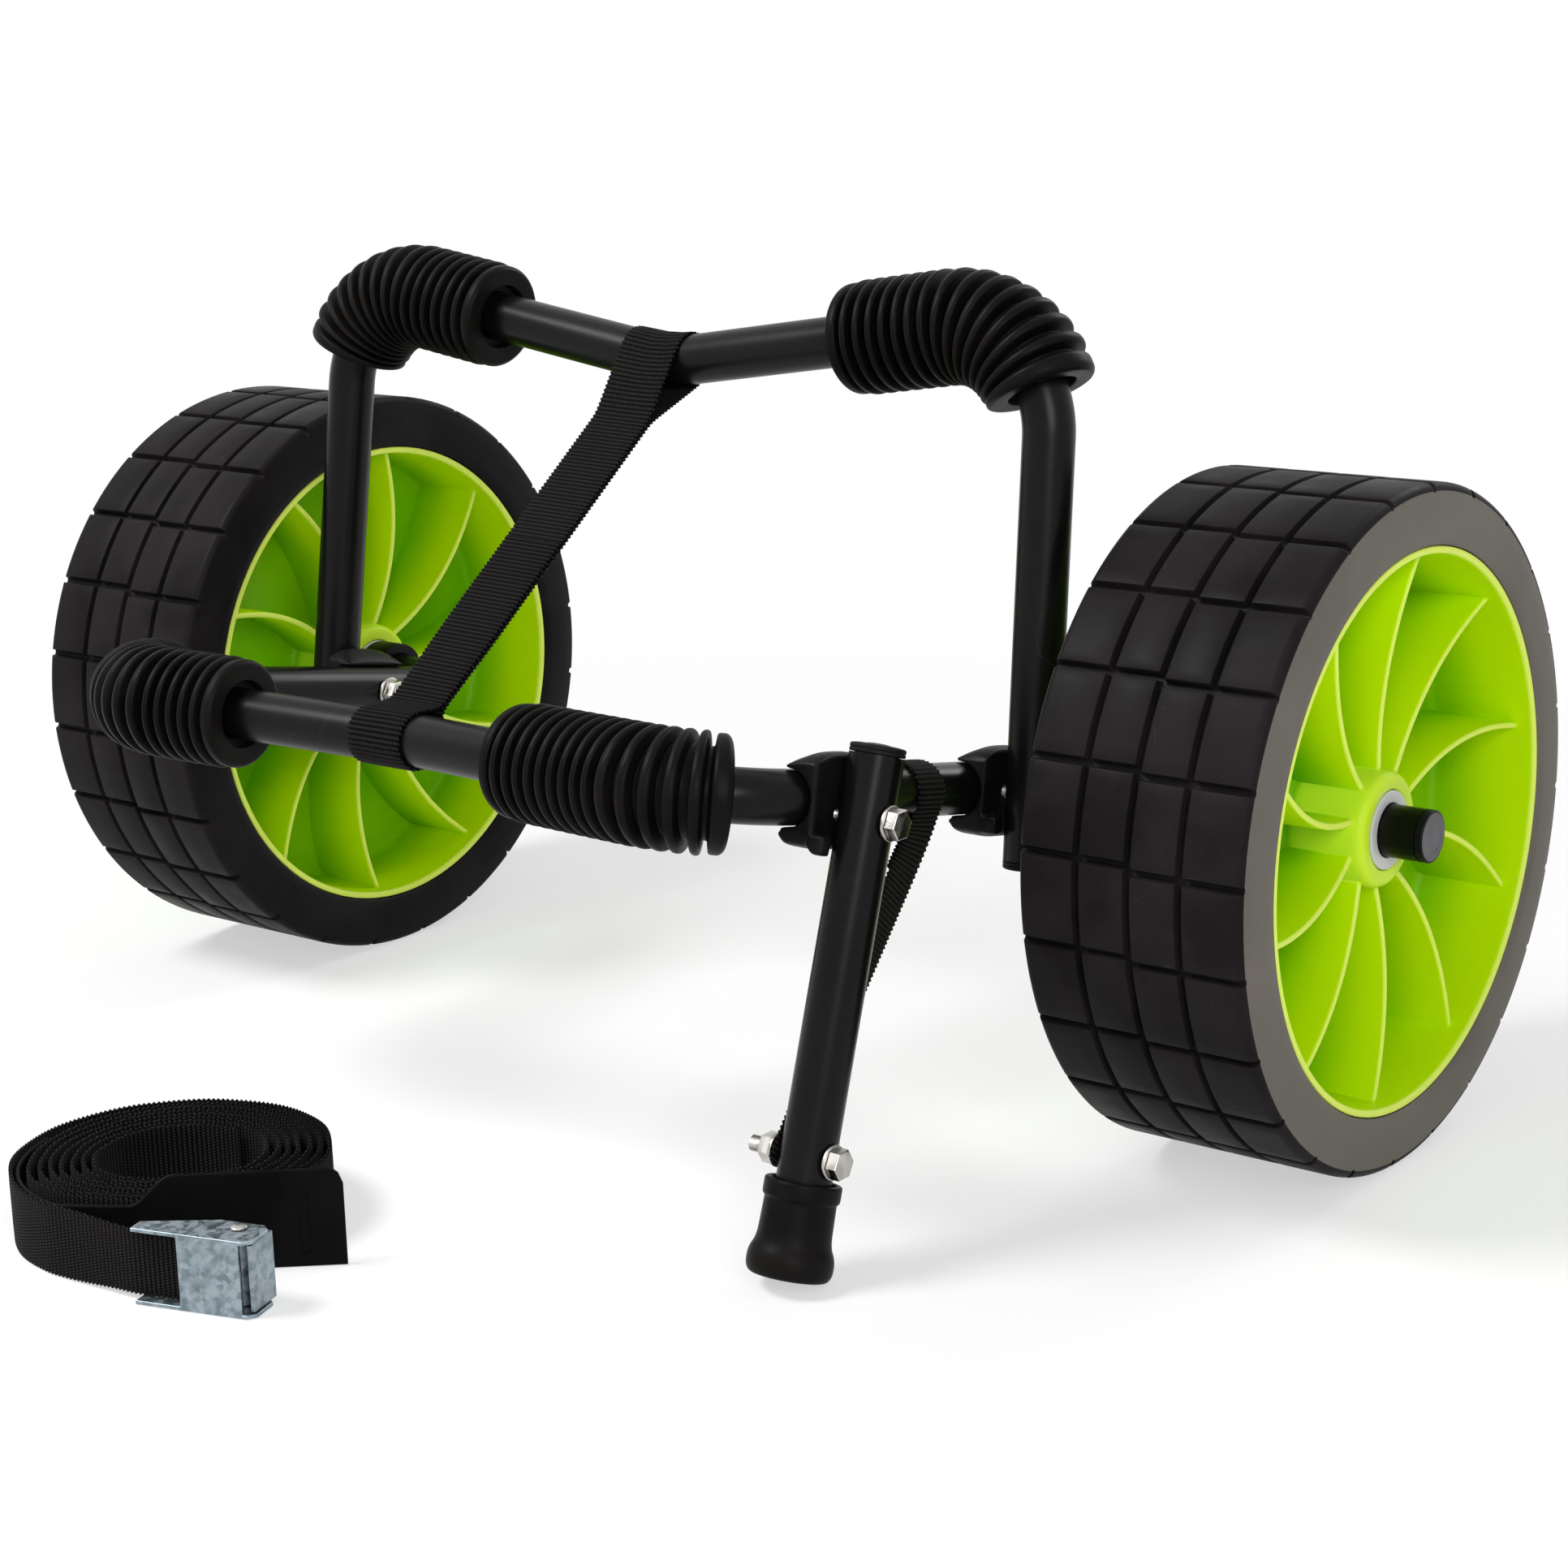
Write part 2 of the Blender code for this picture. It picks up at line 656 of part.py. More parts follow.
# Bolts, nuts and washers
def washer(name, side, x, at, outer=WASHER_R, thick=WASHER_T, inner=BOLT_R, finish=STEEL):
    """A washer from x outward, on an axis along X."""
    bore = hole_r(inner + GAP, HOLE_STEPS)
    place = along(X * side, Vector((0, at.y, at.z)))
    return turned(name, ring_profile(outer, bore, x, x + thick), HOLE_STEPS, place, finish)


def bolt(name, side, tip, head, at):
    """A hexagon bolt along X, from its tip to the underside of its head."""
    place = along(X * side, Vector((0, at.y, at.z)))
    made = turned(name, shaft_profile(BOLT_HEAD_R, head, head + BOLT_HEAD_T), 6, place, STEEL, ring=False)
    profile = shaft_profile(BOLT_R, tip, head + BOLT_HEAD_T / 2)
    shank = turned(f"{name}_shank", profile, HOLE_STEPS, place, ring=False)
    return join(made, shank)


def nut(name, side, x, at):
    """A hexagon nut from x outward."""
    place = along(X * side, Vector((0, at.y, at.z)))
    made = turned(name, shaft_profile(NUT_R, x, x + NUT_T), 6, place, STEEL, ring=False)
    radius = hole_r(BOLT_R + GAP, HOLE_STEPS)
    profile = shaft_profile(radius, x - PAST, x + NUT_T + PAST)
    thread = turned(f"{name}_thread", profile, HOLE_STEPS, place, ring=False)
    return cut(made, thread)


HEAD_WASHER_X = SIDE_X + TUBE_R + GAP
HEAD_X = HEAD_WASHER_X + WASHER_T + GAP
ARM_NUT_X = ARM_X - TUBE_R - GAP - WASHER_T - GAP - NUT_T
STAY_FACE_X = SIDE_X - TUBE_R - GAP
STAY_NUT_X = STAY_FACE_X - WEBBING_T - GAP - WASHER_T - GAP - NUT_T

pivot_steel = []
for tag, side in SIDES.items():
    pivot_steel += [
        bolt(f"cradle_bolt_{tag}", side, ARM_NUT_X - BOLT_END, HEAD_X, CRADLE_PIVOT),
        washer(f"cradle_washer_{tag}", side, HEAD_WASHER_X, CRADLE_PIVOT),
        nut(f"cradle_nut_{tag}", side, ARM_NUT_X, CRADLE_PIVOT),
        washer(f"arm_washer_{tag}", side, ARM_NUT_X + NUT_T + GAP, CRADLE_PIVOT),
    ]
pivot_steel += [
    bolt("kickstand_bolt", 1, ARM_NUT_X - BOLT_END, HEAD_X, KICK_PIVOT),
    washer("kickstand_washer", 1, HEAD_WASHER_X, KICK_PIVOT),
    nut("kickstand_nut", 1, ARM_NUT_X, KICK_PIVOT),
]
stay_steel = [
    bolt("stay_bolt", 1, STAY_NUT_X - STAY_BOLT_END, HEAD_X, STAY_BOLT),
    washer("stay_head_washer", 1, HEAD_WASHER_X, STAY_BOLT),
    washer("stay_nut_washer", 1, STAY_NUT_X + NUT_T + GAP, STAY_BOLT),
    nut("stay_nut", 1, STAY_NUT_X, STAY_BOLT),
]


# Rubber foot, cut flat where it stands
def foot():
    bore = hole_r(TUBE_R + GAP, HOLE_STEPS)
    shoulder = FOOT_LEN * 0.3
    profile = [
        (0, FOOT_SOLE),
        (bore, FOOT_SOLE),
        (bore, FOOT_LEN),
        (FOOT_R - GRIP_LIP / 2, FOOT_LEN),
        (FOOT_LIP_R, FOOT_LEN - GRIP_LIP),
        (FOOT_R, FOOT_LEN - 3 * GRIP_LIP),
        (FOOT_R, shoulder),
        (FOOT_BASE_R, shoulder * 0.6),
        (FOOT_BASE_R, FOOT_BASE_R - FOOT_EDGE_R),
        (FOOT_EDGE_R, 0),
        (0, 0),
    ]
    base = KICK_PIVOT + KICK_X - KICK_DIR * KICK_LEN
    made = turned("kickstand_foot", profile, HOLE_STEPS, along(KICK_DIR, base), GRIP_RUBBER, ring=False)
    size = 4 * FOOT_BASE_R
    return cut(made, block("floor_cut", (size, size, size), Matrix.Translation((base.x, base.y, -size / 2))))


kickstand_foot = foot()


# Wheels
def tyre(name, place):
    half = TYRE_W / 2
    tread = half - TYRE_SHOULDER
    profile = [
        (RIM_R + GAP, half),
        (TYRE_R - TYRE_SHOULDER, half),
        (TYRE_R - TYRE_SHOULDER / 3, half - TYRE_SHOULDER / 3),
        (TYRE_R, tread),
    ]
    shoulder = profile[:]
    for i in range(1, TREAD_COLUMNS):
        middle = tread - 2 * tread * i / TREAD_COLUMNS
        low, high = middle - TREAD_GROOVE / 2, middle + TREAD_GROOVE / 2
        profile += [(TYRE_R, high), (TYRE_R - TREAD_DEPTH, high), (TYRE_R - TREAD_DEPTH, low), (TYRE_R, low)]
    profile += [(r, -h) for r, h in reversed(shoulder)]
    return turned(name, [(hole_r(r, WHEEL_STEPS), h) for r, h in profile], WHEEL_STEPS, place, TYRE_RUBBER)


def rim(name, place, upright):
    """Drum, web and hub in one, with curved blades that stand through the web."""
    edge = TYRE_W / 2 - RIM_INSET
    inner = RIM_R - RIM_WALL
    root = inner - RIM_DRAFT
    web = WEB_T / 2
    hub = HUB_W / 2
    bore = BUSHING_R + GAP
    upper = [
        (bore, hub),
        (HUB_R - HUB_CHAMFER, hub),
        (HUB_R, hub - HUB_CHAMFER),
        (HUB_R, web),
        (root, web),
        (inner, edge),
        (RIM_R, edge),
    ]
    profile = upper + [(r, -h) for r, h in reversed(upper)]
    made = turned(name, [(hole_r(r, WHEEL_STEPS), h) for r, h in profile], WHEEL_STEPS, place, LIME_PLASTIC)
    return join(made, blades(f"{name}_blades", upright))


BLADE_STEPS = 4


def blades(name, place):
    """Ten bowed walls from the hub to the drum, each higher at the drum."""
    start = HUB_R - HUB_CHAMFER
    end = RIM_R - RIM_WALL / 2
    bm = bmesh.new()
    for k in range(BLADES):
        grid = bmesh.ops.create_grid(bm, x_segments=BLADE_STEPS, y_segments=1, size=1)["verts"]
        for vert in grid:
            share = (vert.co.x + 1) / 2
            height = BLADE_ROOT + (BLADE_TIP - BLADE_ROOT) * share
            aside = BLADE_BOW * 4 * share * (1 - share) - BLADE_LAG * share
            vert.co = (start + (end - start) * share, aside, height * vert.co.y)
        spun = Matrix.Rotation(2 * pi * k / BLADES - BLADE_TURN, 3, "Z")
        bmesh.ops.rotate(bm, verts=grid, cent=(0, 0, 0), matrix=spun)
    made = add(name, mesh_of(name, bm), None)
    made.matrix_world = place
    solid = made.modifiers.new("thickness", "SOLIDIFY")
    solid.thickness = BLADE_T
    solid.offset = 0
    return made


def bushing(name, place, inner_end, outer_end):
    radius = hole_r(TUBE_R + GAP, HOLE_STEPS)
    profile = ring_profile(BUSHING_R, radius, inner_end, outer_end)
    return turned(name, profile, HOLE_STEPS, place, PALE_PLASTIC)


wheels = {}
thrust_washers = []
for tag, side in SIDES.items():
    flat_down = Matrix.Rotation(pi / WHEEL_STEPS, 4, "Z")
    upright = along(X * side, AXLE + X * side * WHEEL_X)
    wheel_place = upright @ flat_down
    face = HUB_W / 2 + BUSHING_PROUD
    wheels[tag] = [
        tyre(f"tyre_{tag}", wheel_place),
        rim(f"rim_{tag}", wheel_place, upright),
        bushing(f"outer_bushing_{tag}", wheel_place, face - BUSHING_LEN, face),
        bushing(f"inner_bushing_{tag}", wheel_place, -face, BUSHING_LEN - face),
    ]
    thrust_washers.append(
        washer(f"thrust_washer_{tag}", side, THRUST_X, AXLE, THRUST_R, THRUST_T, TUBE_R, BLACK_PLASTIC)
    )


# Snap buttons and their leaf springs, at the back of the axle tips
def button(name, side):
    flange = TUBE_R - BUTTON_SINK
    profile = [
        (0, TUBE_R + BUTTON_OUT),
        (BUTTON_R / 2, TUBE_R + BUTTON_OUT),
        (BUTTON_R, TUBE_R + BUTTON_OUT - BUTTON_R / 2),
        (BUTTON_R, flange),
        (BUTTON_FLANGE_R, flange),
        (BUTTON_FLANGE_R, flange - BUTTON_FLANGE_T),
        (0, flange - BUTTON_FLANGE_T),
    ]
    return turned(name, profile, HOLE_STEPS, along(Y, AXLE + X * side * BUTTON_X), STEEL, ring=False)


def leaf_spring(name, side):
    """A V of spring strip between the button and the far wall of the tube."""
    top = TUBE_R - BUTTON_SINK - BUTTON_FLANGE_T - GAP
    bottom = -(BORE_R * cos(pi / 8) - 2 * GAP)
    level = (top + bottom) / 2
    outer = [(BUTTON_R, top), (-LEAF_LEN, level + LEAF_T), (-LEAF_LEN - LEAF_T, level), (BUTTON_R, bottom)]
    inner = [(BUTTON_R, bottom + LEAF_T), (-LEAF_LEN + 2 * LEAF_T, level), (BUTTON_R, top - LEAF_T)]
    outline = [(side * (BUTTON_X + x), y) for x, y in outer + inner]
    return prism(name, outline, LEAF_W, Matrix.Translation(AXLE), STEEL)


buttons = {tag: button(f"snap_button_{tag}", side) for tag, side in SIDES.items()}
leaf_springs = [leaf_spring(f"leaf_spring_{tag}", side) for tag, side in SIDES.items()]


# Spread strap between the middles of the two hoops
LOOP_BORE_R = hole_r(TUBE_R + GAP, 12)
LOOP_R = LOOP_BORE_R + WEBBING_T


def loop_on(name, hoop, aside):
    """A loop of webbing left of a hoop's middle: its own middle, the loop, and the bore for the tube."""
    half_width = WEBBING_W / 2
    left_end = stretch(hoop["left"], 0, half_width + aside)
    path = [*reversed(left_end), *stretch(hoop["right"], 0, half_width - aside)[1:]]
    middle = stretch(hoop["left"], 0, aside)[-1]
    return middle, tube(name, path, LOOP_R), tube(f"{name}_bore", longer(path, 4 * PAST), LOOP_BORE_R)


def spread_strap():
    top, top_loop, top_bore = loop_on("spread_top_loop", cradle_halves, SPREAD_TOP_ASIDE)
    low, low_loop, low_bore = loop_on("spread_low_loop", axle_halves, SPREAD_LOW_ASIDE)
    run = top - low
    size = (WEBBING_W - GAP, 2 * WEBBING_T, run.length)
    made = block("spread_strap", size, along(run, (top + low) / 2, X), WEBBING)
    return cut(join(made, top_loop, low_loop), top_bore, low_bore)


spread = spread_strap()


# Stay strap from the arm behind the kickstand down to the stay bolt
def stay_strap():
    arm = arm_point(ARM_X, STAY_ARM)
    half = ARM_DIR * WEBBING_W / 2
    loop = tube("stay_loop", [arm - half, arm + half], LOOP_R)
    bore = tube("stay_loop_bore", [arm - half * 2, arm + half * 2], LOOP_BORE_R)
    middle_x = STAY_FACE_X - WEBBING_T / 2
    low = Vector((middle_x, STAY_BOLT.y, STAY_BOLT.z))
    high = Vector((middle_x, arm.y, arm.z))
    run = high - low
    half_width = WEBBING_W / 2
    outline = [
        (-half_width, run.length),
        (-half_width, STAY_TAPER),
        (-STAY_END_W / 2, -STAY_PAST_BOLT),
        (STAY_END_W / 2, -STAY_PAST_BOLT),
        (half_width, STAY_TAPER),
        (half_width, run.length),
    ]
    up = run.normalized()
    place = Matrix.Translation(low) @ Matrix((up.cross(X), up, X)).transposed().to_4x4()
    made = prism("stay_strap", outline, WEBBING_T, place, WEBBING)
    return cut(join(made, loop), bore, stay_hole)


stay = stay_strap()


# Tie-down strap
def smooth(share):
    share = min(max(share, 0), 1)
    return share * share * (3 - 2 * share)


COIL_END = radians(270)
PAD_SIDE = radians(311)


def coil_radius(angle):
    """The band's distance from the coil's middle. The angle grows outward and ends at COIL_END."""
    back = COIL_END - angle
    room = TONGUE_ROOM * smooth((back - radians(80)) / radians(50))
    radius = COIL_R - room - COIL_PITCH * back / (2 * pi)
    facing = max(0, cos(angle - PAD_SIDE))
    return radius * (1 - COIL_SQUEEZE * facing**3 * smooth((back - radians(90)) / radians(60)))


def coil_point(angle, radius):
    return COIL + Vector((cos(angle), sin(angle), 0)) * radius


def buckle_point(u, w):
    return BUCKLE + BUCKLE_U * u + BUCKLE_W * w


def tie_strap():
    """One unbroken band: the spiral from its inner end, then the straight run into the buckle."""
    count = round(COIL_TURNS * LOOP_POINTS)
    step = 2 * pi / LOOP_POINTS
    angles = [COIL_END - (count - i) * step for i in range(count + 1)]
    path = [coil_point(a, coil_radius(a)) for a in angles]
    spans = [(0, WEBBING_W)] * len(path)
    middle = WEBBING_ROOM + WEBBING_T / 2
    path.append(buckle_point(-BUCKLE_NOSE - WEBBING_ROOM, middle))
    path.append(buckle_point(BUCKLE_FRONT_LEN - WEBBING_ROOM, middle))
    spans = spans + [(BUCKLE_LIFT, WEBBING_W + BUCKLE_LIFT)] * 2
    nearest = min(
        (a - b).length for i, a in enumerate(path) for b in path[i + LOOP_POINTS // 2:]
    )
    print(f"tie-down coil: least gap to itself {1000 * (nearest - WEBBING_T):.2f} mm")
    run = sum((b - a).length for a, b in zip(path, path[1:]))
    print(f"tie-down strap: {run:.2f} m of webbing")
    return ribbon("tie_strap", path, spans, WEBBING_T, WEBBING)


def strap_pad():
    """A rubber pad held between the turns by a low tongue. It stands up past the coil on the right."""
    step = 2 * pi / LOOP_POINTS
    tongue = [coil_point(COIL_END - i * step, COIL_R - TONGUE_ROOM - PAD_T / 4) for i in range(5, -1, -1)]
    neck = coil_point(PAD_NECK_DIR, PAD_NECK_R)
    end = neck + Vector((cos(PAD_DIR), sin(PAD_DIR), 0)) * PAD_LEN
    path = [*tongue, neck, neck.lerp(end, 0.12), end]
    spans = [(0, PAD_TONGUE_H)] * (len(tongue) + 1) + [(0, PAD_H)] * 2
    return ribbon("strap_pad", path, spans, PAD_T, PAD_RUBBER)


tie = tie_strap()
pad = strap_pad()


# Buckle: u runs along the webbing, w to the back, z up
CHEEK_TOP = BUCKLE_LIFT + WEBBING_W + GAP + BUCKLE_SHEET
PIN_W = WEBBING_ROOM + WEBBING_T + GAP + CAM_R
BUCKLE_PLACE = Matrix.Translation(BUCKLE) @ Matrix((BUCKLE_U, BUCKLE_W, Z)).transposed().to_4x4()


def buckle_box(name, u, w, z, finish=None):
    """A block between pairs of u, w and z."""
    middle = Vector(((u[0] + u[1]) / 2, (w[0] + w[1]) / 2, (z[0] + z[1]) / 2))
    size = (u[1] - u[0], w[1] - w[0], z[1] - z[0])
    return block(name, size, BUCKLE_PLACE @ Matrix.Translation(middle), finish)


def pin_hole(name, radius, low, high):
    place = BUCKLE_PLACE @ Matrix.Translation((PIN_U, PIN_W, 0))
    return turned(name, shaft_profile(hole_r(radius, HOLE_STEPS), low, high), HOLE_STEPS, place, ring=False)


def buckle_frame():
    cheek = [
        (-BUCKLE_NOSE, -BUCKLE_SHEET),
        (BUCKLE_TAIL - 2 * BUCKLE_SHEET, -BUCKLE_SHEET),
        (BUCKLE_TAIL, BUCKLE_SHEET),
        (BUCKLE_TAIL, BUCKLE_DEEP - 2 * BUCKLE_SHEET),
        (BUCKLE_TAIL - 2 * BUCKLE_SHEET, BUCKLE_DEEP),
        (PIN_U / 2, BUCKLE_DEEP),
        (-BUCKLE_NOSE, BUCKLE_DEEP / 3),
    ]
    low = BUCKLE_PLACE @ Matrix.Translation((0, 0, BUCKLE_SHEET / 2))
    high = BUCKLE_PLACE @ Matrix.Translation((0, 0, CHEEK_TOP - BUCKLE_SHEET / 2))
    made = prism("buckle_frame", cheek, BUCKLE_SHEET, low, ZINC)
    upright = (BUCKLE_SHEET / 2, CHEEK_TOP - BUCKLE_SHEET / 2)
    front = buckle_box("buckle_front", (0, BUCKLE_FRONT_LEN), (-BUCKLE_SHEET, 0), upright)
    top = prism("buckle_top", cheek, BUCKLE_SHEET, high)
    return cut(join(made, front, top), pin_hole("cheek_holes", PIN_R + GAP, -PAST, CHEEK_TOP + PAST))


def buckle_lever():
    """A cam drum on the pin with a thumb plate beside it."""
    low = BUCKLE_SHEET + GAP + GAP
    high = CHEEK_TOP - BUCKLE_SHEET - GAP - GAP
    place = BUCKLE_PLACE @ Matrix.Translation((PIN_U, PIN_W, 0))
    made = turned("buckle_lever", shaft_profile(CAM_R, low, high), HOLE_STEPS, place, ZINC, ring=False)
    plate = BUCKLE_FRONT_LEN + THUMB_GAP
    thumb = buckle_box("lever_thumb", (plate, plate + BUCKLE_SHEET), (PAST, THUMB_DEEP), (low, high))
    reach = (PIN_U, plate + BUCKLE_SHEET / 2)
    arm = buckle_box("lever_arm", reach, (PIN_W, PIN_W + BUCKLE_SHEET), (low, high))
    bore = pin_hole("lever_bore", PIN_R + GAP, low - PAST, high + PAST)
    pocket = pin_hole("lever_pocket", SPRING_POCKET_R, low - PAST, low + SPRING_POCKET)
    return cut(join(made, thumb, arm), bore, pocket)


def buckle_pin():
    profile = [
        (0, CHEEK_TOP + GAP + PIN_HEAD_T),
        (PIN_HEAD_R / 2, CHEEK_TOP + GAP + PIN_HEAD_T),
        (PIN_HEAD_R, CHEEK_TOP + GAP + PIN_HEAD_T / 2),
        (PIN_HEAD_R, CHEEK_TOP + GAP),
        (PIN_R, CHEEK_TOP + GAP),
        (PIN_R, GAP),
        (0, GAP),
    ]
    place = BUCKLE_PLACE @ Matrix.Translation((PIN_U, PIN_W, 0))
    return turned("buckle_pin", profile, HOLE_STEPS, place, STEEL, ring=False)


def buckle_spring():
    """A torsion spring round the pin, in the pocket of the cam."""
    middle = buckle_point(PIN_U, PIN_W)
    low = BUCKLE_SHEET + GAP + 2 * SPRING_WIRE_R
    rise = (SPRING_POCKET - 4 * SPRING_WIRE_R) / SPRING_TURNS
    count = SPRING_TURNS * SPRING_POINTS
    path = []
    for i in range(count + 1):
        a = 2 * pi * i / SPRING_POINTS
        path.append(middle + Vector((cos(a) * SPRING_R, sin(a) * SPRING_R, low + rise * i / SPRING_POINTS)))
    return tube("buckle_spring", path, SPRING_WIRE_R, STEEL, 1)


frame = buckle_frame()
lever = buckle_lever()
pin = buckle_pin()
spring = buckle_spring()


# Bodies: an empty on each joint's axis carries the pieces that move with it
def body(name, at, pieces):
    carrier = bpy.data.objects.new(name, None)
    parts.objects.link(carrier)
    carrier.empty_display_size = TUBE_R
    carrier.location = at
    bpy.context.view_layer.update()
    for piece in pieces:
        piece.parent = carrier
        piece.matrix_parent_inverse = carrier.matrix_world.inverted()
    return carrier


body("axle_frame_body", AXLE, [
    axle_hoop, *axle_plugs, *front_grips, *arm_saddles, kickstand_saddle, *pivot_steel, *thrust_washers,
    *leaf_springs, spread, stay, tie, pad, frame, pin, spring,
])
body("cradle_body", CRADLE_PIVOT, [cradle_hoop, *cradle_grips, *leg_caps])
body("kickstand_body", KICK_PIVOT, [kickstand_tube, kickstand_cap, kickstand_foot, *stay_steel])
for tag, side in SIDES.items():
    body(f"wheel_{tag}_body", AXLE + X * side * WHEEL_X, wheels[tag])
    body(f"snap_button_{tag}_body", AXLE + X * side * BUTTON_X, [buttons[tag]])
body("buckle_lever_body", buckle_point(PIN_U, PIN_W), [lever])
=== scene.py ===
"""Looks of the folding paddleboard cart.

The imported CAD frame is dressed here: the photograph's view, plain studio light, and the full shape and
finish of every piece. Metres, +Z up, in the frame of the part.
"""

from bisect import bisect_right
from math import acos, atan2, ceil, cos, hypot, pi, radians, sin, tan

import bmesh
import bpy
from mathutils import Matrix, Vector


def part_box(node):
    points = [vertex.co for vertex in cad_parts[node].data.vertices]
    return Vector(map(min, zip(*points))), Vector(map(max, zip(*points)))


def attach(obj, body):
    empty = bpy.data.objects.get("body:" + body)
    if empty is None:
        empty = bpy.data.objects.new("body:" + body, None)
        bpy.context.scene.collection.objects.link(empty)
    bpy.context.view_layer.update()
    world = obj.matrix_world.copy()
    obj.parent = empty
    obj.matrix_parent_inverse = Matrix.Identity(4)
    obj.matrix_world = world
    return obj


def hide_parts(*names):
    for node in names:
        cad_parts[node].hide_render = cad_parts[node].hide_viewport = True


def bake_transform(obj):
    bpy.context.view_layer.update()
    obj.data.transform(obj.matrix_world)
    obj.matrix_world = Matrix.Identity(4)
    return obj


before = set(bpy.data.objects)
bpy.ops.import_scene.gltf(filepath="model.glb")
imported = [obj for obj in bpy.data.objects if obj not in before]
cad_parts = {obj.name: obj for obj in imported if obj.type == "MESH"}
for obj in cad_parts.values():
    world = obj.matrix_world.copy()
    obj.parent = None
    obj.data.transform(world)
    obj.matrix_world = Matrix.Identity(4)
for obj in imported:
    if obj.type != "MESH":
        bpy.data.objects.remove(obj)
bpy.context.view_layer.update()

X = Vector((1, 0, 0))
Y = Vector((0, 1, 0))
Z = Vector((0, 0, 1))
SIDES = {"left": -1, "right": 1}


def middle(node):
    low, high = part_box(node)
    return (low + high) / 2


def extent(node):
    low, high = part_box(node)
    return high - low


def new_object(name, data):
    made = bpy.data.objects.new(name, data)
    bpy.context.scene.collection.objects.link(made)
    return made


# Places read off the frame
TYRE_R = extent("tyre_right").z / 2
TYRE_W = extent("tyre_right").x
RIM_R = extent("rim_right").z / 2
WHEEL_X = middle("tyre_right").x
BUSHING_LIP = 0.0005        # how far a bushing stands out of its hub
HUB_W = 2 * (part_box("outer_bushing_right")[1].x - WHEEL_X - BUSHING_LIP)
AXLE = Vector((0, middle("tyre_right").y, TYRE_R))
AXLE_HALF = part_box("axle_plug_right")[1].x
BUTTON_X = middle("snap_button_right").x
THRUST_X, THRUST_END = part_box("thrust_washer_right")[0].x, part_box("thrust_washer_right")[1].x
CRADLE_PIVOT = Vector((0, *middle("cradle_washer_right").yz))
KICK_PIVOT = Vector((0, *middle("kickstand_washer").yz))
STAY_BOLT = Vector((0, *middle("stay_head_washer").yz))

# Tubes
GAP = 0.0003
WELD = 0.000003
TUBE_R = 0.010
BORE_R = TUBE_R + GAP       # of what sits on a tube
BEND_R = 0.050
CORNER_BEND_R = 0.040
DIP_BEND_R = 0.040
BEND_STEP = radians(3)
ARM_X = 0.162
ARM_RISE = radians(10.5)        # of the arms toward the front bar
ARM_LEN = 0.2275
FRONT_DIP = 0.018
SIDE_X = 0.1853
LEG_LEAN = radians(7.56)
LEG_TOE = 0.0277        # how far a leg leans inward for each metre up
LEG_ABOVE = 0.1785
LEG_BELOW = 0.028
CRADLE_DIP = 0.0267
KICK_SLANT = radians(18.3)
KICK_ABOVE = 0.026
PLUG_FLANGE = 0.003
PLUG_SEAT = PLUG_FLANGE + GAP
PLUG_SHANK = 0.003
PLUG_SHANK_R = 0.8 * TUBE_R
PLUG_EDGE = 0.0009
KICK_CAP_DOME = 0.0009

# Kickstand foot
FOOT_LEN = 0.034
FOOT_R = 0.0132
FOOT_LIP_R = 0.0138
FOOT_BASE_R = 0.0155
FOOT_EDGE_R = 0.014
FOOT_SOLE = 0.0055
FOOT_FLAT = 0.0008

# Ribbed grips
GRIP_R = 0.0220
GRIP_VALLEY_R = 0.0165
GRIP_COLLAR_R = 0.0213
GRIP_COLLAR = 0.005
GRIP_STEP = 0.001       # between a collar and the first rib
GRIP_MOUTH_R = 0.0134
GRIP_MOUTH = 0.0045
GRIP_BEVEL = 0.0014
RIB_PITCH = 0.0060
RIB_FOOT = (0.0012, 0.0048)
RIB_CREST = (0.0017, 0.0043)
RIB_ROUND = 0.0012
RIBS = 14
FRONT_GRIP = {"left": 0.079, "right": 0.105}
CRADLE_GRIP = {"left": 0.088, "right": 0.091}

# Wheels
TREAD_ROWS = 24
TREAD_DEPTH = 0.0036
TREAD_GROOVE = 0.0025
CROSS_GROOVE = 0.0027
TREAD_STEP = 0.0022     # between the blocks on the two sides of the middle groove
TREAD_TURN = {"left": radians(9.7), "right": radians(-5)}       # as the wheels rest in the photograph
SHOULDER = 0.0035
WALL_BULGE = 0.0015
TREAD_HALF = TYRE_W / 2 - WALL_BULGE - SHOULDER
# Distance inside a groove's wall, and the share of the groove's depth there
GROOVE_WALL = [(-0.0008, 0.0), (-0.0003, 0.06), (0.0, 0.35), (0.0002, 0.88), (0.0007, 1.0)]
RIM_WALL = 0.003
RIM_DRAFT = 0.0015
RIM_EDGE = TYRE_W / 2 - 0.001
RIM_ROUND = 0.0009
WEB_T = 0.004
HUB_R = 0.0222
HUB_ROUND = 0.0045
HUB_DRAFT = 0.0012
BUSHING_R = 0.0150
BUSHING_LEN = 0.022
BUSHING_ROUND = 0.0006
BLADES = 10
BLADE_T = 0.0026
BLADE_INTO_HUB = 0.003
BLADE_ROOT = 0.0305     # half height of a blade at the hub
BLADE_TIP = 0.0388      # half height of a blade at the drum
BLADE_BOW = 0.0095
BLADE_LAG = 0.008       # of a blade's outer end behind its root's radius
BLADE_TURN = {"left": radians(10), "right": radians(-3)}        # as the wheels rest in the photograph
BLADE_STEPS = 18

# Saddles
SADDLE_LEN = 0.034
SADDLE_SHELL = 0.0112       # half height of the sleeve round the arm
SADDLE_FLANK = 0.0125       # half width of what is drawn in
SADDLE_TOP_ROUND = 2.6
SADDLE_TUCK = 0.4
SADDLE_GRAIN = 0.0006
SADDLE_MELT = 14        # rounds of smoothing

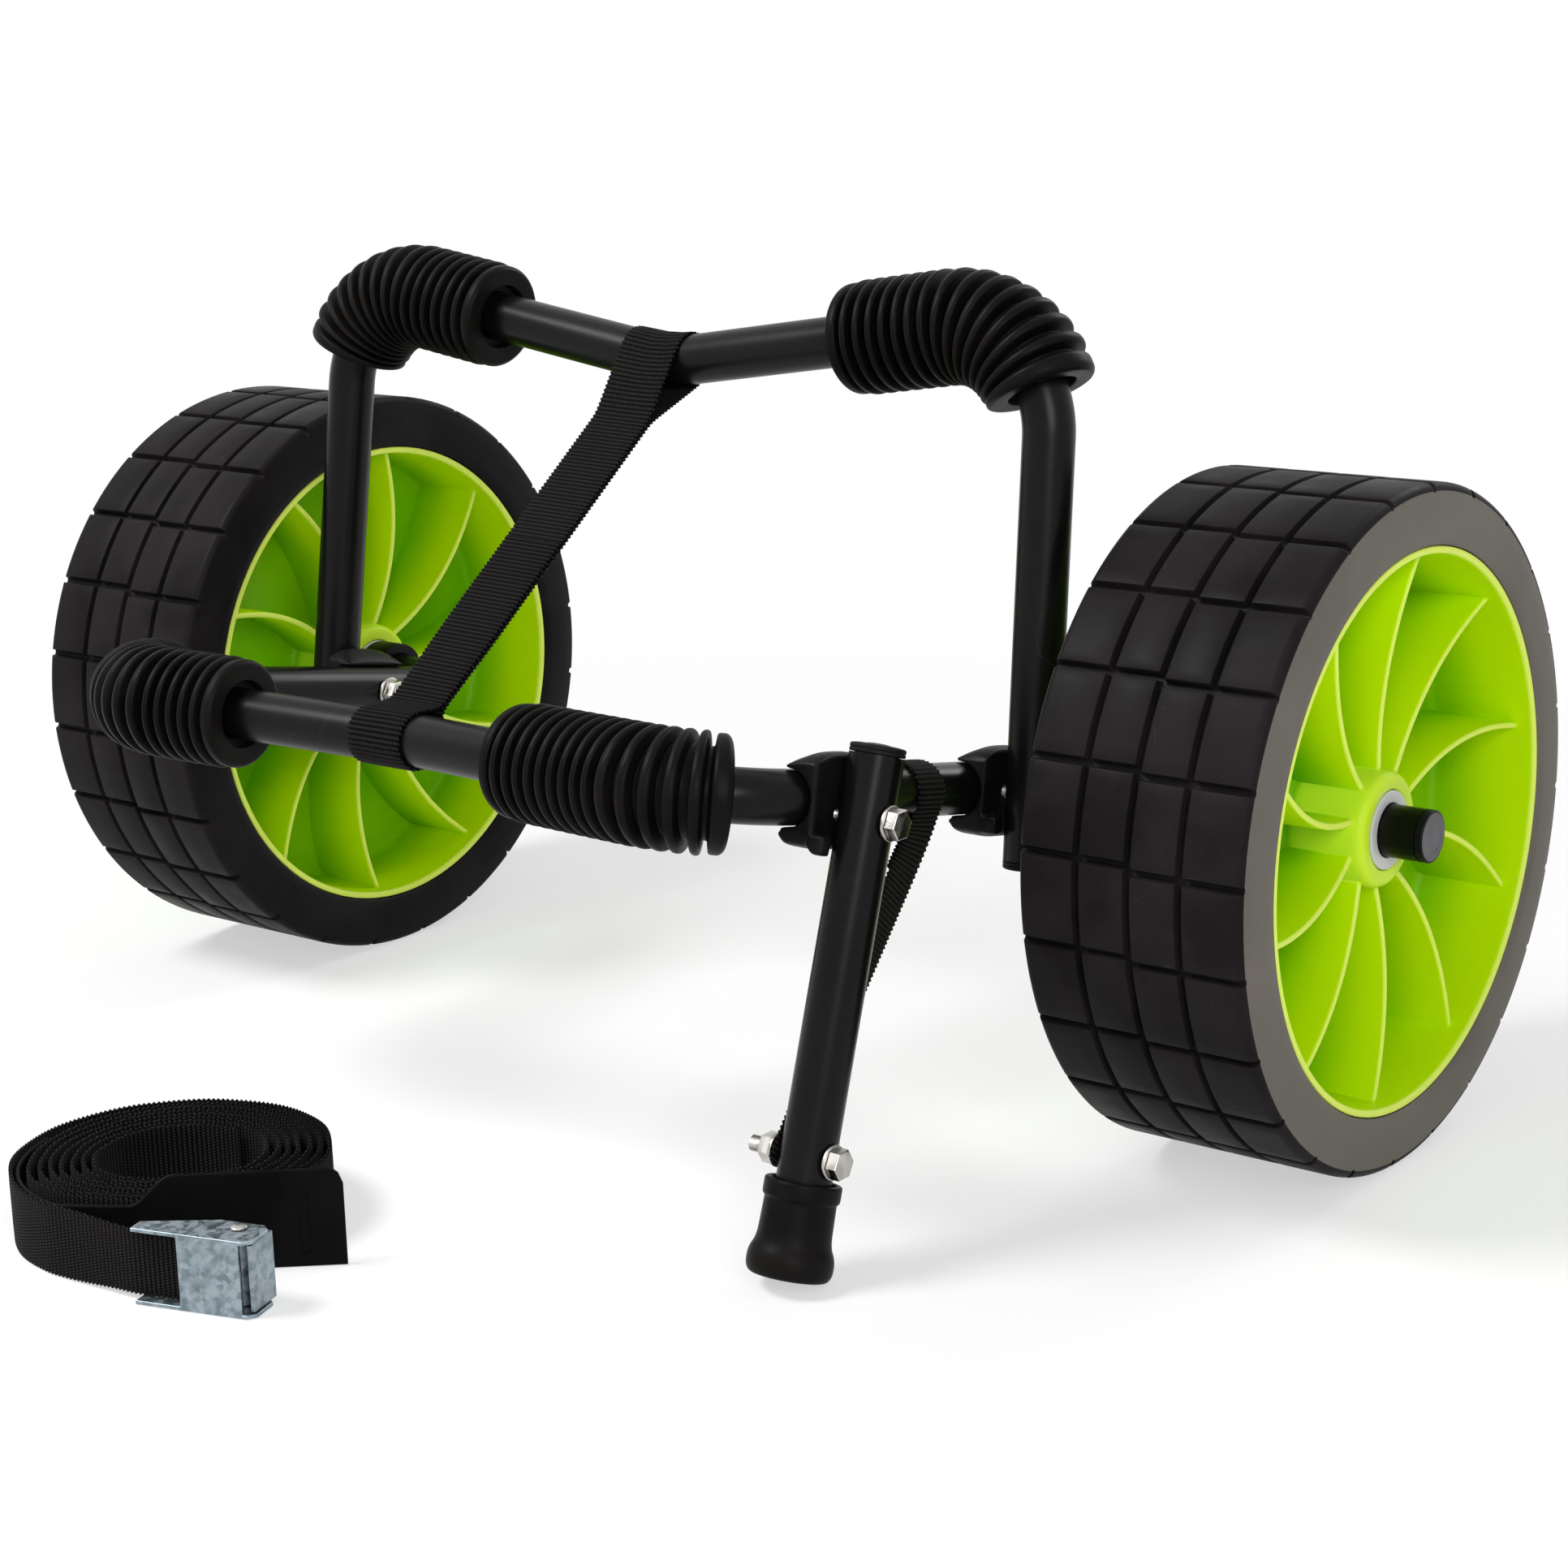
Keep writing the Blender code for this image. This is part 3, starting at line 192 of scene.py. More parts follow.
# Fasteners
BOLT_R = 0.003
HEAD_R = 0.0058
HEAD_T = 0.004
THREAD_PITCH = 0.001
THREAD_DEPTH = 0.0004
BUTTON_R = 0.003
BUTTON_OUT = 0.004      # past the tube's face
BUTTON_IN = 0.003

# Webbing
WEBBING_W = 0.025
WEBBING_T = 0.0015
RIB_STEP = 0.0019       # between the webbing's crosswise ribs
RIB_POINTS = 2
SERRATION = 0.0008      # depth of the notches between the ribs at an edge
SPREAD_TOP_MERGE = 0.033
SPREAD_LOW_MERGE = 0.016
SPREAD_TOP_ASIDE = 0.004
SPREAD_LOW_ASIDE = 0.011
SPREAD_TOP_W = 0.0295
SPREAD_LOW_W = 0.026
SPREAD_WIDEN = 0.06
SPREAD_BEND = 0.035     # how far from a bar the strap follows the bar's bend
STAY_ARM = 0.1185       # from the axle along the arm to the stay's loop
STAY_W = 0.0165
STAY_END_W = 0.0125
STAY_PAST_BOLT = 0.005
STAY_TAPER = 0.045
STAY_LOOP = (radians(-12), radians(300))        # where its turn round the arm starts, and how far it goes
STAY_TURN = (0.035, 0.025)      # below the arm, where the strap turns its flat side, and over what length
STAY_SEAM = (0.016, 0.018, 0.034)       # below the arm: the start of the loop, its end and the sewn end
LOOP_R = BORE_R + WEBBING_T / 2
LOOP_STEPS = 24
LINE_STEP = 0.0015

# Tie-down strap
COIL = Vector((-0.037, AXLE.y - 0.305, 0))
COIL_R = 0.061
COIL_W = 0.0275
COIL_PITCH = 0.0039
COIL_TURNS = 7.5
COIL_SQUEEZE = 0.18     # share by which the pad presses the inner turns in
COIL_END = radians(270)
COIL_STEPS = 90     # points in a turn
COIL_WAVER = (0.00025, 0.0002)
PAD_SIDE = radians(311)     # where the pad presses on the coil
TONGUE_ROOM = 0.0025        # for the pad's tongue under the last turn
PAD_T = 0.0018
PAD_H = 0.037
PAD_TONGUE_H = 0.026
PAD_LEN = 0.076
PAD_CORNER = 0.006
PAD_SLOT_IN = 0.0144        # from the pad's end to the middle of its slot
PAD_SLOT_Z = 0.017
PAD_SLOT_H = 0.025
PAD_SLOT_R = 0.002
PAD_SLOT_DEEP = 0.0006
PAD_NECK_DIR = radians(297.6)       # where the pad's tongue leaves the coil
PAD_NECK_R = 0.0496
PAD_DIR = radians(41.3)
BUCKLE = Vector((0.024, AXLE.y - 0.360, 0))
BUCKLE_TURN = radians(17)
BUCKLE_FRONT_LEN = 0.0245
BUCKLE_NOSE = 0.018
BUCKLE_LIFT = 0.0018        # of the webbing in the buckle, above the floor
WEBBING_ROOM = 0.002

ARM_DIR = Vector((0, -cos(ARM_RISE), sin(ARM_RISE)))
ARM_UP = Vector((0, sin(ARM_RISE), cos(ARM_RISE)))
LEG_DIR = Vector((0, sin(LEG_LEAN), cos(LEG_LEAN)))
KICK_DIR = Vector((0, sin(KICK_SLANT), cos(KICK_SLANT)))
BUCKLE_U = Vector((cos(BUCKLE_TURN), sin(BUCKLE_TURN), 0))
BUCKLE_W = Vector((-sin(BUCKLE_TURN), cos(BUCKLE_TURN), 0))


# The photograph's view
CAMERA_EYE = Vector((0.804463, -0.897722, 0.437603))
CAMERA_AZIMUTH = radians(37.8349)
CAMERA_ELEVATION = radians(14.8886)
CAMERA_ROLL = radians(-1.3638)
CAMERA_LENS = 71.196
CAMERA_SHIFT = (-0.0024, 0.01907)


def photo_camera():
    back = Vector((
        sin(CAMERA_AZIMUTH) * cos(CAMERA_ELEVATION),
        -cos(CAMERA_AZIMUTH) * cos(CAMERA_ELEVATION),
        sin(CAMERA_ELEVATION),
    ))
    level = Z.cross(back).normalized()
    upright = back.cross(level)
    right = level * cos(CAMERA_ROLL) + upright * sin(CAMERA_ROLL)
    up = upright * cos(CAMERA_ROLL) - level * sin(CAMERA_ROLL)
    data = bpy.data.cameras.new("photo_view")
    data.sensor_width = 36
    data.lens = CAMERA_LENS
    data.shift_x, data.shift_y = CAMERA_SHIFT
    data.clip_start = 0.01
    made = new_object("photo_view", data)
    made.matrix_world = Matrix.Translation(CAMERA_EYE) @ Matrix((right, up, back)).transposed().to_4x4()
    bpy.context.scene.camera = made


def softbox(name, at, size, power, toward=(0, 0, 0.12)):
    data = bpy.data.lights.new(name, "AREA")
    data.shape = "DISK"
    data.size = size
    data.energy = power
    made = new_object(name, data)
    made.location = at
    made.rotation_euler = (Vector(toward) - Vector(at)).to_track_quat("-Z", "Y").to_euler()


# Node helpers
def set_inputs(tree, node, values):
    """Sets a node's inputs, by name or number, or links them where the value is a socket."""
    for name, value in values.items():
        if isinstance(value, bpy.types.NodeSocket):
            tree.links.new(value, node.inputs[name])
        else:
            node.inputs[name].default_value = value


def add_node(tree, kind, inputs=None, **settings):
    made = tree.nodes.new(kind)
    for name, value in settings.items():
        setattr(made, name, value)
    set_inputs(tree, made, inputs or {})
    return made


def object_place(tree):
    return add_node(tree, "ShaderNodeTexCoord").outputs["Object"]


def maths(tree, operation, first, second=0.0):
    return add_node(tree, "ShaderNodeMath", {0: first, 1: second}, operation=operation).outputs[0]


def vector_maths(tree, operation, *values):
    return add_node(tree, "ShaderNodeVectorMath", dict(enumerate(values)), operation=operation).outputs


def ramp(tree, value, low, high, to_low=0.0, to_high=1.0):
    """The value, moved smoothly from one range to another."""
    inputs = {"Value": value, "From Min": low, "From Max": high, "To Min": to_low, "To Max": to_high}
    return add_node(tree, "ShaderNodeMapRange", inputs, interpolation_type="SMOOTHSTEP").outputs["Result"]


def blend_colours(tree, share, first, second):
    ends = [end if isinstance(end, bpy.types.NodeSocket) else (*end, 1) for end in (first, second)]
    inputs = {"Factor": share, 6: ends[0], 7: ends[1]}
    return add_node(tree, "ShaderNodeMix", inputs, data_type="RGBA").outputs[2]


def bumps(tree, height, depth, strength):
    inputs = {"Height": height, "Distance": depth, "Strength": strength}
    return add_node(tree, "ShaderNodeBump", inputs).outputs["Normal"]


def noise(tree, place, scale, detail=2.0, distortion=0.0):
    inputs = {"Vector": place, "Scale": scale, "Detail": detail, "Distortion": distortion}
    return add_node(tree, "ShaderNodeTexNoise", inputs).outputs["Fac"]


def node_group(name, inputs, outputs):
    tree = bpy.data.node_groups.new(name, "ShaderNodeTree")
    for socket, kind, value in inputs:
        made = tree.interface.new_socket(socket, in_out="INPUT", socket_type=kind)
        if value is not None:
            made.default_value = value
    for socket in outputs:
        tree.interface.new_socket(socket, in_out="OUTPUT", socket_type="NodeSocketFloat")
    return tree, tree.nodes.new("NodeGroupInput").outputs, tree.nodes.new("NodeGroupOutput")


def moulded_skin():
    """Fine grain as a height, soft patches and thin scuffs as masks."""
    tree, given, out = node_group(
        "moulded skin",
        [("Vector", "NodeSocketVector", None), ("Grain Scale", "NodeSocketFloat", 900.0),
         ("Patch Scale", "NodeSocketFloat", 30.0), ("Scuff Width", "NodeSocketFloat", 0.004)],
        ["Height", "Patches", "Scuffs"],
    )
    grain = noise(tree, given["Vector"], given["Grain Scale"], 3.0)
    patches = noise(tree, given["Vector"], given["Patch Scale"], 4.0)
    lines = noise(tree, given["Vector"], maths(tree, "MULTIPLY", given["Patch Scale"], 0.7), 1.0, 2.5)
    offset = maths(tree, "ABSOLUTE", maths(tree, "SUBTRACT", lines, 0.5))
    thin = ramp(tree, offset, 0.0, given["Scuff Width"], 1.0, 0.0)
    sparse = ramp(tree, patches, 0.55, 0.62)
    set_inputs(tree, out, {
        "Height": grain,
        "Patches": ramp(tree, patches, 0.35, 0.65),
        "Scuffs": maths(tree, "MULTIPLY", thin, sparse),
    })
    return tree


def webbing_weave():
    """Crosswise ribs of staggered yarns, on a UV map of (across, along) in metres."""
    tree, given, out = node_group(
        "webbing weave",
        [("UV", "NodeSocketVector", None), ("Rib", "NodeSocketFloat", RIB_STEP),
         ("Yarn", "NodeSocketFloat", 0.0011)],
        ["Height", "Crowns", "Fuzz"],
    )
    parts = add_node(tree, "ShaderNodeSeparateXYZ", {0: given["UV"]}).outputs
    row = maths(tree, "DIVIDE", parts["Y"], given["Rib"])
    across = maths(tree, "DIVIDE", parts["X"], given["Yarn"])
    nearest = maths(tree, "FLOOR", maths(tree, "ADD", row, 0.5))
    shift = maths(tree, "MULTIPLY", maths(tree, "MODULO", nearest, 2.0), 0.5)
    turned = maths(tree, "MULTIPLY", maths(tree, "ADD", across, shift), pi)
    yarn = maths(tree, "ABSOLUTE", maths(tree, "SINE", turned))
    rib = maths(tree, "ABSOLUTE", maths(tree, "COSINE", maths(tree, "MULTIPLY", row, pi)))
    height = maths(tree, "MULTIPLY", maths(tree, "POWER", rib, 0.6), maths(tree, "POWER", yarn, 0.5))
    set_inputs(tree, out, {
        "Height": height,
        "Crowns": ramp(tree, height, 0.55, 0.95),
        "Fuzz": noise(tree, given["UV"], 2200.0, 2.0),
    })
    return tree


MOULDED_SKIN = moulded_skin()
WEBBING_WEAVE = webbing_weave()


# Materials
def new_material(name):
    made = bpy.data.materials.new(name)
    made.use_nodes = True
    return made, made.node_tree, made.node_tree.nodes["Principled BSDF"]


def skin_at(tree, place, grain, patch):
    inputs = {"Vector": place, "Grain Scale": grain, "Patch Scale": patch}
    return add_node(tree, "ShaderNodeGroup", inputs, node_tree=MOULDED_SKIN).outputs


def coated(name, dark, light, rough, grain, depth, patch=30.0, scuff=0.0, scuff_colour=(0.2, 0.2, 0.2),
           **sockets):
    """Paint, plastic, rubber or metal: two close colours in soft patches, a fine grain, and light scuffs.

    rough is the roughness of both colours, grain and patch are scales, and depth is the height of the grain.
    """
    made, tree, surface = new_material(name)
    skin = skin_at(tree, object_place(tree), grain, patch)
    colour = blend_colours(tree, skin["Patches"], dark, light)
    if scuff:
        colour = blend_colours(tree, maths(tree, "MULTIPLY", skin["Scuffs"], scuff), colour, scuff_colour)
    set_inputs(tree, surface, {
        "Base Color": colour,
        "Roughness": ramp(tree, skin["Patches"], 0.0, 1.0, *rough),
        "Normal": bumps(tree, skin["Height"], depth, 0.6),
        **{socket.replace("_", " "): value for socket, value in sockets.items()},
    })
    return made


def lime_material():
    """Lime plastic: darker, greener painted shade in the pockets; painted light on hub, crests and lip."""
    made, tree, surface = new_material("lime plastic")
    place = object_place(tree)
    skin = skin_at(tree, place, 700.0, 14.0)
    sideways = add_node(tree, "ShaderNodeSeparateXYZ", {0: place}).outputs["X"]
    from_web = maths(tree, "ABSOLUTE", maths(tree, "SUBTRACT", maths(tree, "ABSOLUTE", sideways), WHEEL_X))
    # Painted shade: the lime turns darker and greener deep in the pockets, toward the web
    shallow = ramp(tree, from_web, WEB_T / 2, BLADE_ROOT)
    body = blend_colours(tree, shallow, (0.19, 0.53, 0.0), (0.56, 0.85, 0.0))
    shaded_and_toned = blend_colours(tree, maths(tree, "MULTIPLY", skin["Patches"], 0.2), body, (0.58, 0.80, 0.0))
    about = vector_maths(tree, "SUBTRACT", place, AXLE)["Vector"]
    flat = vector_maths(tree, "MULTIPLY", about, (0, 1, 1))["Vector"]
    out = vector_maths(tree, "LENGTH", flat)["Value"]
    crest = add_node(tree, "ShaderNodeMapRange", {
        "Value": out, "From Min": HUB_R, "From Max": RIM_R - RIM_WALL,
        "To Min": BLADE_ROOT, "To Max": BLADE_TIP,
    }).outputs["Result"]
    # Painted highlights: pale bands along the blades' crests and on the rim's lip
    on_crest = ramp(tree, maths(tree, "SUBTRACT", from_web, crest), -0.0010, -0.0003)
    past_hub = ramp(tree, out, HUB_R + 0.0008, HUB_R + 0.0014)
    drum = RIM_R - RIM_WALL
    on_blade = maths(tree, "MULTIPLY", past_hub, ramp(tree, out, drum - 0.0012, drum - 0.0006, 1.0, 0.0))
    near_edge = ramp(tree, from_web, RIM_EDGE - 0.0016, RIM_EDGE - 0.001)
    on_lip = maths(tree, "MULTIPLY", near_edge, ramp(tree, out, drum - 0.001, drum))
    pale = maths(tree, "MAXIMUM", maths(tree, "MULTIPLY", on_crest, on_blade), on_lip)
    # Painted light: the hub is painted a lighter lime than the pockets
    bright = blend_colours(tree, maths(tree, "SUBTRACT", 1.0, past_hub), shaded_and_toned, (0.62, 0.88, 0.03))
    # The paler colour laid on the crests and the lip is a painted highlight
    colour = blend_colours(tree, maths(tree, "MULTIPLY", pale, 0.8), bright, (0.80, 0.93, 0.16))
    set_inputs(tree, surface, {
        "Base Color": colour,
        "Roughness": ramp(tree, skin["Patches"], 0.0, 1.0, 0.34, 0.42),
        "Normal": bumps(tree, skin["Height"], 0.00006, 0.5),
        "IOR": 1.25,
    })
    return made


def webbing_material(name, yarn, crown_highlight, sheen):
    made, tree, surface = new_material(name)
    uv = add_node(tree, "ShaderNodeUVMap", uv_map="weave").outputs["UV"]
    weave = add_node(tree, "ShaderNodeGroup", {"UV": uv}, node_tree=WEBBING_WEAVE).outputs
    # Painted highlight on the weave's raised crowns; the sunk yarn stays darker as painted shade
    lit = maths(tree, "MULTIPLY", weave["Crowns"], ramp(tree, weave["Fuzz"], 0.3, 0.7, 0.5, 1.0))
    height = maths(tree, "ADD", weave["Height"], maths(tree, "MULTIPLY", weave["Fuzz"], 0.25))
    set_inputs(tree, surface, {
        "Base Color": blend_colours(tree, lit, yarn, crown_highlight),
        "Roughness": ramp(tree, weave["Fuzz"], 0.3, 0.7, 0.62, 0.8),
        "Normal": bumps(tree, height, 0.00025, 0.9),
        "Sheen Weight": sheen,
        "Sheen Roughness": 0.4,
        "IOR": 1.12,
    })
    return made


def zinc_material():
    """Pale blue-white zinc plating with a mottled bloom."""
    made, tree, surface = new_material("zinc plate")
    place = object_place(tree)
    cells = add_node(tree, "ShaderNodeTexVoronoi", {"Vector": place, "Scale": 420.0}).outputs["Color"]
    facet = add_node(tree, "ShaderNodeSeparateXYZ", {0: cells}).outputs["X"]
    cloud = noise(tree, place, 240.0, 4.0)
    bloom = ramp(tree, maths(tree, "ADD", maths(tree, "MULTIPLY", facet, 0.3), cloud), 0.4, 0.85)
    set_inputs(tree, surface, {
        "Base Color": blend_colours(tree, bloom, (0.16, 0.205, 0.235), (0.33, 0.39, 0.43)),
        "Roughness": ramp(tree, bloom, 0.0, 1.0, 0.3, 0.5),
        "Normal": bumps(tree, cloud, 0.00008, 0.5),
        "Metallic": 0.85,
    })
    return made


TUBE_PAINT = coated(
    "satin black paint", dark=(0.0025, 0.0024, 0.0026), light=(0.0040, 0.0038, 0.0042), rough=(0.25, 0.32),
    grain=1500.0, depth=0.00004, patch=12.0, scuff=0.2, scuff_colour=(0.05, 0.05, 0.05), IOR=1.24,
)
BLACK_PLASTIC = coated(
    "black nylon", dark=(0.0045, 0.0042, 0.0046), light=(0.0080, 0.0076, 0.0084), rough=(0.36, 0.46),
    grain=1600.0, depth=0.00006, IOR=1.18,
)
GREY_PLUG = coated(
    "grey plug", dark=(0.105, 0.10, 0.108), light=(0.135, 0.13, 0.138), rough=(0.5, 0.6),
    grain=1400.0, depth=0.00006, patch=90.0, IOR=1.25,
)
GRIP_RUBBER = coated(
    "grip rubber", dark=(0.0030, 0.0026, 0.0025), light=(0.0062, 0.0055, 0.0050), rough=(0.38, 0.46),
    grain=1800.0, depth=0.0001, IOR=1.15,
)
TREAD_RUBBER = coated(
    "tread rubber", dark=(0.0080, 0.0068, 0.0074), light=(0.0135, 0.0116, 0.0126), rough=(0.42, 0.55),
    grain=1200.0, depth=0.0001, scuff=0.2, scuff_colour=(0.06, 0.06, 0.06), IOR=1.13,
)
# Painted light: the lighter grey of the tyres' outer walls, the sides that face the lamps
LIT_WALL_RUBBER = coated(
    "painted lit tyre wall", dark=(0.130, 0.118, 0.102), light=(0.158, 0.145, 0.126), rough=(0.5, 0.6),
    grain=1100.0, depth=0.00008, patch=18.0, scuff=0.2, scuff_colour=(0.17, 0.16, 0.145), IOR=1.2,
)
LIME_PLASTIC = lime_material()
PALE_PLASTIC = coated(
    "pale nylon", dark=(0.56, 0.57, 0.55), light=(0.66, 0.67, 0.65), rough=(0.38, 0.46),
    grain=900.0, depth=0.00004,
)
STEEL = coated(
    "bright steel", dark=(0.40, 0.38, 0.35), light=(0.58, 0.56, 0.52), rough=(0.2, 0.34),
    grain=2600.0, depth=0.00005, patch=160.0, Metallic=1.0,
)
ZINC = zinc_material()
# The crown colour is a painted highlight; the yarn colour is painted shade between the ribs
WEBBING = webbing_material(
    "black webbing", yarn=(0.0010, 0.0009, 0.0009), crown_highlight=(0.032, 0.0280, 0.0270), sheen=0.02,
)
PAD_RUBBER = coated(
    "pad rubber", dark=(0.0030, 0.0030, 0.0034), light=(0.0055, 0.0053, 0.0060), rough=(0.36, 0.46),
    grain=1500.0, depth=0.00005, IOR=1.09,
)


# Mesh helpers
def along(direction, point):
    """The place whose Z axis points in a direction from a point."""
    z = direction.normalized()
    x = Z if abs(z.z) < 0.9 else X
    x = (x - z * x.dot(z)).normalized()
    return Matrix.Translation(point) @ Matrix((x, z.cross(x), z)).transposed().to_4x4()


def eased(corners, closed=False, steps=4):
    """An outline of (x, y, rounding) corners, each one turned into a short curve."""
    outline = []
    for i, (x, y, *rounding) in enumerate(corners):
        here = Vector((x, y))
        ends = (corners[i - 1], corners[(i + 1) % len(corners)])
        if not rounding or not closed and i in (0, len(corners) - 1):
            outline.append((x, y))
            continue
        sides = [Vector(end[:2]) - here for end in ends]
        start, end = [here + side.normalized() * min(rounding[0], 0.48 * side.length) for side in sides]
        for k in range(steps + 1):
            t = k / steps
            outline.append(tuple(start.lerp(here, t).lerp(here.lerp(end, t), t)))
    return outline + outline[:1] if closed else outline


def lathe(outline, steps=64, bm=None):
    """An outline of (radius, height) points, spun round the Z axis."""
    bm = bm or bmesh.new()
    verts = [bm.verts.new((r, 0, h)) for r, h in outline]
    edges = [bm.edges.new(pair) for pair in zip(verts, verts[1:])]
    bmesh.ops.spin(
        bm, geom=verts + edges, cent=(0, 0, 0), axis=(0, 0, 1), angle=2 * pi, steps=steps, use_merge=True,
    )
    return bm


def grid_of(columns, rows, place, bm=None, uv_at=None):
    """A grid of faces whose points are put at place(column, row). Edges that meet are welded later."""
    bm = bm or bmesh.new()
    made = bmesh.ops.create_grid(bm, x_segments=columns, y_segments=rows, size=1)["verts"]
    where = {v: (round((v.co.x + 1) / 2 * columns), round((v.co.y + 1) / 2 * rows)) for v in made}
    for vert, spot in where.items():
        vert.co = place(*spot)
    if uv_at:
        layer = bm.loops.layers.uv.new("weave")
        for face in bm.faces:
            for loop in face.loops:
                loop[layer].uv = uv_at(*where[loop.vert])
    return bm


def moved(bm, matrix):
    bmesh.ops.transform(bm, matrix=matrix, verts=bm.verts)
    return bm


def capped(bm):
    """A mesh with its seam welded and its open ends filled."""
    bmesh.ops.remove_doubles(bm, verts=bm.verts, dist=WELD)
    bmesh.ops.holes_fill(bm, edges=bm.edges, sides=0)
    return bm


def editable(mesh):
    bm = bmesh.new()
    bm.from_mesh(mesh)
    return bm


def mesh_object(name, bm):
    mesh = bpy.data.meshes.new(name)
    bm.to_mesh(mesh)
    bm.free()
    return new_object(name, mesh)


def piece(name, bm, finish, body, nodes, slot, sharp=35, second_finish=None):
    """A finished piece from a mesh: welded, its faces out, smooth but for its sharp edges."""
    bmesh.ops.remove_doubles(bm, verts=bm.verts, dist=WELD)
    bmesh.ops.recalc_face_normals(bm, faces=bm.faces)
    made = mesh_object(name, bm)
    made.data.shade_smooth()
    made.data.set_sharp_from_angle(angle=radians(sharp))
    made.data.materials.append(finish)
    if second_finish:
        made.data.materials.append(second_finish)
    if body:
        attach(made, body)
    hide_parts(*nodes)
    return made


def apply_modifiers(made):
    depsgraph = bpy.context.evaluated_depsgraph_get()
    made.data = bpy.data.meshes.new_from_object(made.evaluated_get(depsgraph))
    made.modifiers.clear()


def refined(node, finish, body, slot, width=0.0006, angle=30):
    """A CAD node's shape with its flats joined and its edges rounded."""
    bm = editable(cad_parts[node].data)
    bmesh.ops.remove_doubles(bm, verts=bm.verts, dist=0.00001)
    bmesh.ops.dissolve_limit(bm, angle_limit=radians(1), verts=bm.verts, edges=bm.edges)
    made = piece(f"fine_{node}", bm, finish, body, [node], slot)
    bevel = made.modifiers.new("rounding", "BEVEL")
    bevel.width = width
    bevel.segments = 3
    bevel.limit_method = "ANGLE"
    bevel.angle_limit = radians(angle)
    bevel.harden_normals = True
    return made


class Track:
    """A route of straight runs and round bends in one plane, read off by the distance along it."""

    def __init__(self, corners, flat):
        self.flat = flat.normalized()
        self.points = [corners[0][0]]
        self.heads = [(corners[1][0] - corners[0][0]).normalized()]
        for (before, _), (corner, radius), (after, _) in zip(corners, corners[1:], corners[2:]):
            arrive = (corner - before).normalized()
            leave = (after - corner).normalized()
            turn = arrive.angle(leave)
            start = corner - arrive * radius * tan(turn / 2)
            inward = (leave - arrive * cos(turn)) / sin(turn)
            steps = ceil(turn / BEND_STEP)
            for i in range(steps + 1):
                a = turn * i / steps
                self.points.append(start + arrive * radius * sin(a) + inward * radius * (1 - cos(a)))
                self.heads.append(arrive * cos(a) + inward * sin(a))
        self.points.append(corners[-1][0])
        self.heads.append((corners[-1][0] - corners[-2][0]).normalized())
        self.marks = [0.0]
        for a, b in zip(self.points, self.points[1:]):
            self.marks.append(self.marks[-1] + (b - a).length)
        self.length = self.marks[-1]

    def at(self, distance):
        i = min(max(bisect_right(self.marks, distance) - 1, 0), len(self.marks) - 2)
        share = (distance - self.marks[i]) / (self.marks[i + 1] - self.marks[i])
        head = self.heads[i].lerp(self.heads[i + 1], share).normalized()
        return self.points[i].lerp(self.points[i + 1], share), head

    def carry(self, bm, start=0.0):
        """Moves a straight piece that was made along Z on to the route."""
        for vert in bm.verts:
            point, head = self.at(start + vert.co.z)
            vert.co = point + self.flat * vert.co.x + head.cross(self.flat) * vert.co.y
        return bm


def arm_point(x, ahead, up=0.0):
    return AXLE + X * x + ARM_DIR * ahead + ARM_UP * up


def leg_point(side, up):
    return CRADLE_PIVOT + X * side * (SIDE_X - LEG_TOE * up) + LEG_DIR * up


AXLE_END = AXLE_HALF - PLUG_SEAT
LEG_END = LEG_BELOW - PLUG_SEAT
AXLE_TRACK = Track([
    (arm_point(-AXLE_END, 0), 0),
    (arm_point(-ARM_X, 0), BEND_R),
    (arm_point(-ARM_X, ARM_LEN), CORNER_BEND_R),
    (arm_point(0, ARM_LEN - FRONT_DIP), DIP_BEND_R),
    (arm_point(ARM_X, ARM_LEN), CORNER_BEND_R),
    (arm_point(ARM_X, 0), BEND_R),
    (arm_point(AXLE_END, 0), 0),
], ARM_UP)
CRADLE_TRACK = Track([
    (leg_point(-1, -LEG_END), 0),
    (leg_point(-1, LEG_ABOVE), CORNER_BEND_R),
    (CRADLE_PIVOT + LEG_DIR * (LEG_ABOVE - CRADLE_DIP), DIP_BEND_R),
    (leg_point(1, LEG_ABOVE), CORNER_BEND_R),
    (leg_point(1, -LEG_END), 0),
], LEG_DIR.cross(X))
KICK_LINE = X * SIDE_X
KICK_TOP = KICK_PIVOT + KICK_LINE + KICK_DIR * (KICK_ABOVE - PLUG_SEAT)
KICK_LEN = (KICK_PIVOT.z - FOOT_EDGE_R * sin(KICK_SLANT) + FOOT_FLAT) / cos(KICK_SLANT)
FOOT_BASE = KICK_PIVOT + KICK_LINE - KICK_DIR * KICK_LEN
KICK_BOTTOM = FOOT_BASE + KICK_DIR * (FOOT_SOLE + GAP)
FRONT_HALF = hypot(ARM_X, FRONT_DIP)
TOP_HALF = hypot(SIDE_X - LEG_TOE * LEG_ABOVE, CRADLE_DIP)


# Tubes and their plugs
def bent_tube(name, track, body, node):
    rings = [(TUBE_R, mark) for mark in track.marks]
    bm = lathe([(0, 0), *rings, (0, track.length)], 48)
    return piece(name, track.carry(bm), TUBE_PAINT, body, [node], "black_tube", sharp=50)


